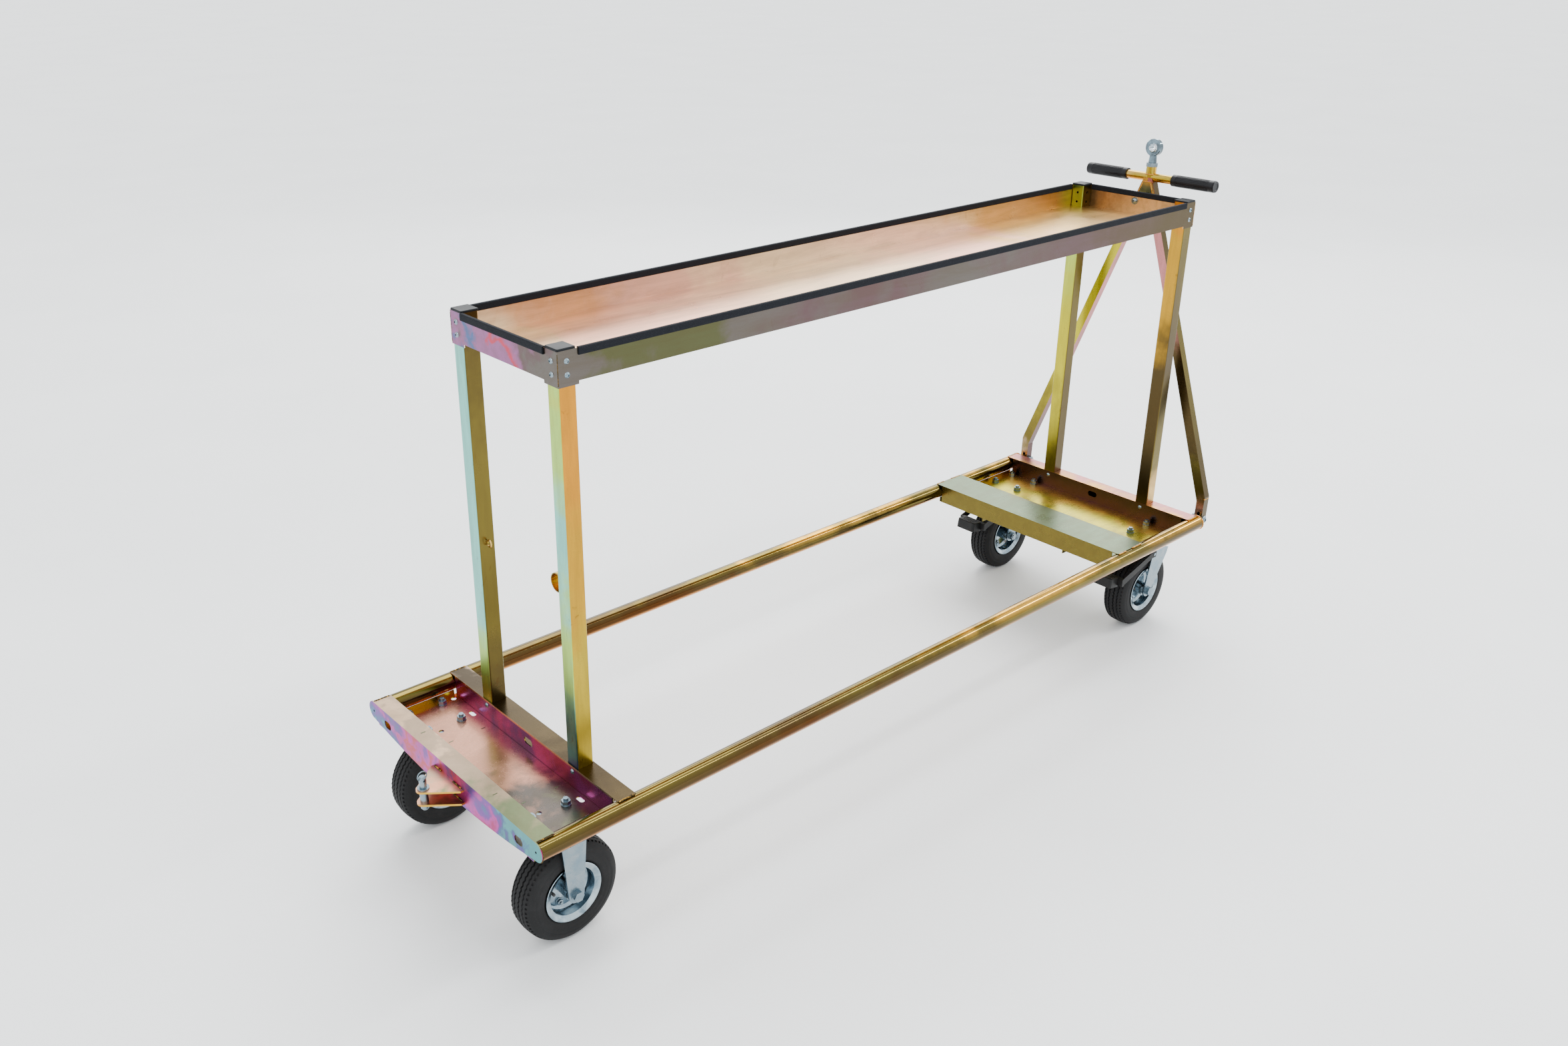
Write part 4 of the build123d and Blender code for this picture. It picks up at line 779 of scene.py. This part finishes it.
class DOLLY_OT_rim_bolts(bpy.types.Operator):
    """Bolts that clamp the rim halves, and the valve stem"""

    bl_idname = "dolly.rim_bolts"
    bl_label = "Rim bolts and valves"

    def execute(self, context):
        hub = middle("castor_a_near_rim")
        disc_half = 0.0027
        head = self.bolt_head(hub, disc_half)
        around = []
        for side in range(2):
            flip = Matrix.Rotation(side * math.pi, 4, "Z")
            for quarter in range(4):
                turn = Matrix.Rotation(quarter * TURN / 4 + 0.5, 4, "Y")
                move = Matrix.Translation(hub) @ flip @ turn @ Matrix.Translation(-hub)
                around.append(copied(head, f"bolt_{side}_{quarter}", move))
        bpy.data.objects.remove(head)
        valve = self.valve_stem(hub + Vector((-0.040, -disc_half, 0.012)))
        bolts = joined("castor_a_near_rim_bolts", around)
        seat(bolts, "wheel_a_near", bpy.data.materials["bright_zinc"])
        seat(valve, "wheel_a_near", bpy.data.materials["tyre_rubber"], 40.0)
        valve.name = "castor_a_near_valve"
        for name in OTHER_CASTORS:
            shift = Matrix.Translation(middle(name + "_rim") - hub)
            if name.endswith("far"):
                centre = Matrix.Translation(hub)
                shift = shift @ centre @ Matrix.Rotation(math.pi, 4, "Z") @ centre.inverted()
            for piece, ending, slot in ((bolts, "_rim_bolts", "zinc_bright"),
                                        (valve, "_valve", "tyre_rubber")):
                twin = copied(piece, name + ending, shift)
                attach(twin, name.replace("castor", "wheel"))
        return {"FINISHED"}

    def bolt_head(self, hub, disc_half):
        """A hexagon head with its washer and a thinner stud end, on the bolt circle."""
        bolt_circle, thick = 0.0335, 0.005
        face_y = hub.y - disc_half - 0.0036
        clear()
        bpy.ops.mesh.primitive_cylinder_add(vertices=6, radius=0.0065, depth=thick,
                                            location=(hub.x + bolt_circle, face_y, hub.z),
                                            rotation=(math.pi / 2, 0, 0))
        head = bpy.context.object
        head.name = "rim_bolt"
        edit(head, "FACE")
        pick(head, lambda place, _: place.y > face_y + 0.4 * thick, "faces")
        extrude((0, 0, 0))
        bpy.ops.transform.resize(value=(1.32, 1.32, 1.32))
        extrude((0, 0.0012, 0))
        pick(head, lambda place, _: place.y < face_y - 0.4 * thick, "faces")
        bpy.ops.mesh.inset(thickness=0.0028, depth=0)
        extrude((0, -0.0032, 0))
        clean()
        soften(head, 0.0006)
        settle(head)
        return head

    def valve_stem(self, foot):
        """A rubber stem that necks in, then steps out to its cap."""
        length = 0.010
        clear()
        bpy.ops.mesh.primitive_cylinder_add(vertices=16, radius=0.0034, depth=length,
                                            location=foot + Vector((0, -length / 2, 0)),
                                            rotation=(math.pi / 2, 0, 0))
        valve = bpy.context.object
        edit(valve, "FACE")
        pick(valve, lambda place, _: place.y < foot.y - 0.9 * length, "faces")
        for grow, out in ((0.72, -0.0001), (1.0, -0.007), (1.28, -0.0001), (1.0, -0.006), (0.7, -0.0012)):
            extrude((0, out, 0))
            bpy.ops.transform.resize(value=(grow, 1, grow))
        clean()
        return valve


class DOLLY_OT_grips(bpy.types.Operator):
    """Handle grips with long ridges, an end cap and a collar"""

    bl_idname = "dolly.grips"
    bl_label = "Handle grips"

    def execute(self, context):
        sizes = context.scene.dolly_sizes
        low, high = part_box("handle_grips")
        tube_low, tube_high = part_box("handle_tube")
        bore = (tube_high.z - tube_low.z) / 2 + 0.0001
        centre = (low + high) / 2
        inner, outer = 0.067, high.y
        collar_end, cap_start, cap_end = inner + 0.012, outer - 0.016, outer - 0.003
        facets = sizes.grip_ridges * 4
        raised = {"value": sizes.ridge_height * 0.9}
        core = (high.z - low.z) / 2 - sizes.ridge_height
        clear()
        bpy.ops.mesh.primitive_cylinder_add(vertices=facets, radius=core, depth=outer - inner,
                                            end_fill_type="NGON", rotation=(math.pi / 2, 0, 0),
                                            location=(centre.x, (inner + outer) / 2, centre.z))
        grip = bpy.context.object
        edit(grip, "FACE")
        pick(grip, lambda place, _: place.y < inner + 0.001, "faces")
        bpy.ops.mesh.inset(thickness=core - bore, depth=0)
        extrude((0, tube_high.y - inner, 0))
        for cut in (collar_end, cap_start, cap_end):
            bpy.ops.mesh.select_all(action="SELECT")
            bpy.ops.mesh.bisect(plane_co=(0, cut, 0), plane_no=(0, 1, 0))

        def outside(place):
            return math.hypot(place.x - centre.x, place.z - centre.z) > bore + 0.001

        def on_ridge(place, _):
            angle = math.atan2(place.x - centre.x, place.z - centre.z) % TURN
            return outside(place) and collar_end < place.y < cap_start and int(angle / TURN * facets) % 4 < 2

        pick(grip, on_ridge, "faces")
        bpy.ops.mesh.extrude_region_shrink_fatten(TRANSFORM_OT_shrink_fatten=raised)
        for start, stop in ((inner, collar_end), (cap_start, cap_end)):
            pick(grip, lambda place, _: outside(place) and start + 0.001 < place.y < stop - 0.001, "faces")
            bpy.ops.mesh.extrude_region_shrink_fatten(TRANSFORM_OT_shrink_fatten=raised)
        pick(grip, lambda place, _: place.y > outer - (0.0004 if outside(place) else 0.0001), "faces")
        bpy.ops.mesh.inset(thickness=0.004, depth=0)
        bpy.ops.mesh.inset(thickness=0.0012, depth=-0.0012)
        clean()
        material = rubber("grip_rubber", context.scene.dolly_colours.grip, 0.36, 600.0, 0.25, 0.16)
        grip.name = "handle_grip_far"
        seat(grip, "drawbar", material, 25.0)
        twin = copied(grip, "handle_grip_near", Matrix.Scale(-1, 4, (0, 1, 0)))
        twin.data.flip_normals()
        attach(twin, "drawbar")
        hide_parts("handle_grips")
        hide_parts("handle_grips")
        return {"FINISHED"}


class DOLLY_OT_welds(bpy.types.Operator):
    """Weld beads along the frame's and the drawbar's seams"""

    bl_idname = "dolly.welds"
    bl_label = "Weld beads"

    def execute(self, context):
        sizes = context.scene.dolly_sizes
        pitch = sizes.bead_pitch
        ripple = self.ripple(sizes.bead_radius)
        metal = passivate_and_paint_reflections(
            "zinc_weld", [(0, UMBER), (0.4, GOLD), (0.6, BRONZE), (1, CREAM)], [(0, BRONZE), (1, GOLD)],
            [(0, BRONZE), (1, ORANGE)], axis=0, cloud=110.0, wobble=0.9, rough=0.28, stain=0.6)
        beads = [self.bead(ripple, start, stop, pitch, scale) for start, stop, scale in self.frame_rows()]
        for side in (-1, 1):
            mouth = Vector((END_A + 0.0022, side * RAIL_Y, RAIL_Z))
            beads.append(self.ring(ripple, mouth, RAIL_R + 0.0003, (1, 0, 0), 0.5, pitch))
            end = Vector((RAIL_HIGH.x + 0.0002, side * RAIL_Y, RAIL_Z))
            beads.append(self.ring(ripple, end, RAIL_R - 0.0004, (1, 0, 0), 0.7, pitch))
        seat(roughened(joined("frame_welds", beads), 0.00035, 5), "frame", metal, 60.0)
        beads = [self.bead(ripple, start, stop, pitch, scale) for start, stop, scale in self.drawbar_rows()]
        boss_low, boss_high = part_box("eye_boss")
        boss_foot = leaned(0, 0, HANDLE.z - HINGE.z + 0.0085)
        beads.append(self.ring(ripple, boss_foot, (boss_high.y - boss_low.y) / 2, (0, 0, 1), 0.6, pitch))
        seat(roughened(joined("drawbar_welds", beads), 0.00025, 9), "drawbar", metal, 60.0)
        bpy.data.objects.remove(ripple)
        return {"FINISHED"}

    def frame_rows(self):
        """Start, stop and scale of the straight beads on the frame."""
        sunk = 0.0006
        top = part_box("end_wall_a")[1].z - sunk
        edge = RAIL_Y + 0.0008
        flanges = [(END_A + 0.004, END_A + 0.038), (PAN_A_HIGH.x - 0.038, PAN_A_HIGH.x - 0.002),
                   (PAN_B_LOW.x + 0.003, PAN_B_LOW.x + 0.032), (PAN_B_LOW.x + 0.060, PAN_B_LOW.x + 0.098),
                   (PAN_B_HIGH.x - 0.038, PAN_B_HIGH.x - 0.002)]
        rows = [(Vector((start, side * edge, top)), Vector((stop, side * edge, top)), 0.8)
                for start, stop in flanges for side in (-1, 1)]
        clevis_low, clevis_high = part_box("clevis_plates")
        wall = END_A - sunk
        for z in (clevis_high.z, clevis_low.z + 0.004):
            rows += [(Vector((wall, 0.028, z)), Vector((wall, 0.052, z)), 0.8),
                     (Vector((wall, -0.045, z)), Vector((wall, -0.016, z)), 0.8)]
        corner = TRAY_HIGH.y - 0.0004
        for x in (TRAY_LOW.x + 0.0004, TRAY_HIGH.x - 0.0004):
            rows += [(Vector((x, side * corner, TRAY_LOW.z + 0.004)),
                      Vector((x, side * corner, TRAY_HIGH.z - 0.004)), 0.35) for side in (-1, 1)]
        return rows

    def drawbar_rows(self):
        """Start, stop and scale of the straight beads on the drawbar."""
        low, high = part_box("drawbar_gusset")
        foot, top = low.z - HINGE.z, high.z - HINGE.z
        wide_low = high.y - 0.0035
        taper = 0.356
        wide_top = wide_low - (top - foot) * taper
        rows = [(leaned(-0.0135, side * wide_low, foot + 0.002),
                 leaned(-0.0135, side * wide_top, top - 0.002), 0.7) for side in (-1, 1)]
        rows.append((leaned(-0.0120, -0.010, top + 0.0006), leaned(-0.0120, 0.012, top + 0.0006), 0.7))
        kink = 0.0605
        leg_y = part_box("drawbar_leg_far")[1].y - 0.0008
        rows += [(leaned(-0.010, side * leg_y, kink), leaned(0.010, side * leg_y, kink), 0.6)
                 for side in (-1, 1)]
        return rows

    def ripple(self, radius):
        """One flattened drop of weld, at the origin, widest along Y."""
        clear()
        bpy.ops.mesh.primitive_uv_sphere_add(segments=10, ring_count=6, radius=radius)
        drop = bpy.context.object
        drop.name = "ripple"
        edit(drop)
        bpy.ops.mesh.select_all(action="SELECT")
        bpy.ops.transform.resize(value=(0.75, 1.0, 0.8))
        pick(drop, lambda place, _: place.x > radius * 0.2)
        bpy.ops.transform.translate(value=(radius * 0.2, 0, 0))
        bpy.ops.object.mode_set(mode="OBJECT")
        return drop

    def bead(self, ripple, start, stop, pitch, scale):
        """A straight row of drops from start to stop."""
        run = stop - start
        count = max(2, int(run.length / (pitch * (0.4 + 0.6 * scale))))
        turn = run.to_track_quat("X", "Z").to_matrix().to_4x4()
        drop = copied(ripple, "bead", Matrix.Scale(scale, 4))
        choose(drop)
        row = drop.modifiers.new("row", "ARRAY")
        row.count = count
        row.use_relative_offset = False
        row.use_constant_offset = True
        row.constant_offset_displace = (run.length / count, 0, 0)
        bpy.ops.object.modifier_apply(modifier=row.name)
        drop.data.transform(Matrix.Translation(start) @ turn)
        return drop

    def ring(self, ripple, centre, radius, axis, scale, pitch):
        """A closed ring of drops about an axis."""
        count = int(TURN * radius / (pitch * (0.4 + 0.6 * scale)))
        axis = Vector(axis)
        side = Vector((0, 0, 1)) if axis.x else Vector((1, 0, 0))
        across = axis.cross(side)
        place = Matrix.Translation(centre + side * radius) @ axes(across, side, axis)
        drop = copied(ripple, "ring", place @ Matrix.Scale(scale, 4))
        edit(drop)
        bpy.ops.mesh.select_all(action="SELECT")
        bpy.ops.mesh.spin(steps=count, angle=TURN, center=centre, axis=axis, dupli=True)
        bpy.ops.object.mode_set(mode="OBJECT")
        return drop


class DOLLY_OT_pin_ring(bpy.types.Operator):
    """Wire ring through the tow pin's head"""

    bl_idname = "dolly.pin_ring"
    bl_label = "Pin ring"

    def execute(self, context):
        low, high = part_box("tow_pin")
        hole = high.z - 0.0085
        wire, loop = 0.0011, 0.0095
        hub = Vector(((low.x + high.x) / 2, (low.y + high.y) / 2, hole + loop - 0.001))
        clear()
        bpy.ops.mesh.primitive_circle_add(vertices=10, radius=wire, location=hub + Vector((loop, 0, 0)))
        ring = bpy.context.object
        edit(ring)
        bpy.ops.mesh.select_all(action="SELECT")
        bpy.ops.mesh.spin(steps=44, angle=TURN, center=hub, axis=(0, 1, 0))
        clean()
        ring.name = "tow_pin_ring"
        seat(ring, "tow_pin", bpy.data.materials["bright_zinc"], 60.0)
        return {"FINISHED"}


class DOLLY_OT_stage(bpy.types.Operator):
    """Pale floor, soft lights and the camera"""

    bl_idname = "dolly.stage"
    bl_label = "Stage"

    def execute(self, context):
        scene = context.scene
        self.floor(tuple(scene.dolly_colours.floor))
        world = bpy.data.worlds.new("studio")
        world.use_nodes = True
        sky = world.node_tree.nodes["Background"]
        sky.inputs["Color"].default_value = (0.95, 0.975, 0.985, 1.0)
        sky.inputs["Strength"].default_value = 1.85
        scene.world = world
        self.panel("tray_glow", (3.6, 3.4, 2.75), (5.4, 1.7), 125.0)
        self.panel("streak", (3.5, -2.15, 4.45), (5.2, 0.35), 150.0, (4.0, 0.7, -1.7))
        self.panel("front", (-3.4, -1.4, 3.6), (2.4, 2.4), 50.0)
        sun = bpy.data.lights.new("ceiling", "SUN")
        sun.energy = 3.3
        sun.angle = math.radians(42)
        holder = bpy.data.objects.new("ceiling", sun)
        holder.rotation_euler = Vector((-0.45, -0.35, -1.0)).to_track_quat("-Z", "Y").to_euler()
        scene.collection.objects.link(holder)
        self.camera(scene)
        return {"FINISHED"}

    def floor(self, colour):
        """A wide pale floor with faint patches."""
        clear()
        bpy.ops.mesh.primitive_plane_add(size=FLOOR_SIZE)
        floor = bpy.context.object
        floor.name = "floor"
        finish = Finish("floor_plaster")
        patches = finish.noise(1.3, 4.0, 0.6)
        tint = finish.mix(finish.between(patches, 0.3, 0.7, 0.0, 0.35), colour, (0.72, 0.735, 0.745))
        relief = finish.noise(42.0, 6.0, 0.7)
        floor.data.materials.append(finish.set(
            Base_Color=tint, Roughness=0.75, Normal=finish.bump(relief, 0.25, 0.004)))

    def panel(self, name, place, size, power, along=None):
        """A soft light panel that looks at the dolly, its long side level or along a direction."""
        lamp = bpy.data.lights.new(name, "AREA")
        lamp.shape = "RECTANGLE"
        lamp.size, lamp.size_y = size
        lamp.energy = power
        holder = bpy.data.objects.new(name, lamp)
        back = (Vector(place) - LIGHTS_AIM).normalized()
        side = Vector(along).normalized() if along else Vector((0, 0, 1)).cross(back)
        side = (side - back * side.dot(back)).normalized()
        holder.matrix_world = Matrix.Translation(place) @ axes(side, back.cross(side), back)
        bpy.context.scene.collection.objects.link(holder)

    def camera(self, scene):
        """The three-quarter view from the clevis end."""
        lens = bpy.data.cameras.new("camera")
        lens.lens = CAMERA_LENS
        lens.sensor_width = 36.0
        lens.shift_x, lens.shift_y = CAMERA_SHIFT
        lens.clip_end = VIEW_END
        holder = bpy.data.objects.new("camera", lens)
        scene.collection.objects.link(holder)
        ahead = Vector(CAMERA_AHEAD).normalized()
        right = ahead.cross(Vector((0, 0, 1))).normalized()
        holder.matrix_world = Matrix.Translation(CAMERA_PLACE) @ axes(right, right.cross(ahead), -ahead)
        scene.camera = holder


class DOLLY_PT_panel(bpy.types.Panel):
    """Lists the dolly's sizes, colours and operators"""

    bl_idname = "DOLLY_PT_panel"
    bl_label = "Wheel Dolly"
    bl_space_type = "VIEW_3D"
    bl_region_type = "UI"
    bl_category = "Dolly"

    def draw(self, context):
        layout = self.layout
        for group in (context.scene.dolly_sizes, context.scene.dolly_colours):
            for key in group.__annotations__:
                layout.prop(group, key)
        for step in STEPS:
            layout.operator(step.bl_idname)


STEPS = (DOLLY_OT_sheet, DOLLY_OT_tubes, DOLLY_OT_hardware, DOLLY_OT_blacks, DOLLY_OT_tyres,
         DOLLY_OT_rim_bolts, DOLLY_OT_grips, DOLLY_OT_welds, DOLLY_OT_pin_ring, DOLLY_OT_stage)
CLASSES = (DollySizes, DollyColours, *STEPS, DOLLY_PT_panel)


def register():
    for each in CLASSES:
        bpy.utils.register_class(each)
    bpy.types.Scene.dolly_sizes = bpy.props.PointerProperty(type=DollySizes)
    bpy.types.Scene.dolly_colours = bpy.props.PointerProperty(type=DollyColours)


def unregister():
    del bpy.types.Scene.dolly_colours
    del bpy.types.Scene.dolly_sizes
    for each in reversed(CLASSES):
        bpy.utils.unregister_class(each)


def main():
    """Register the add-on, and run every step."""
    register()
    for step in STEPS:
        group, name = step.bl_idname.split(".")
        if getattr(getattr(bpy.ops, group), name)() != {"FINISHED"}:
            raise RuntimeError(f"{step.bl_label} did not finish")


if __name__ == "__main__":
    main()
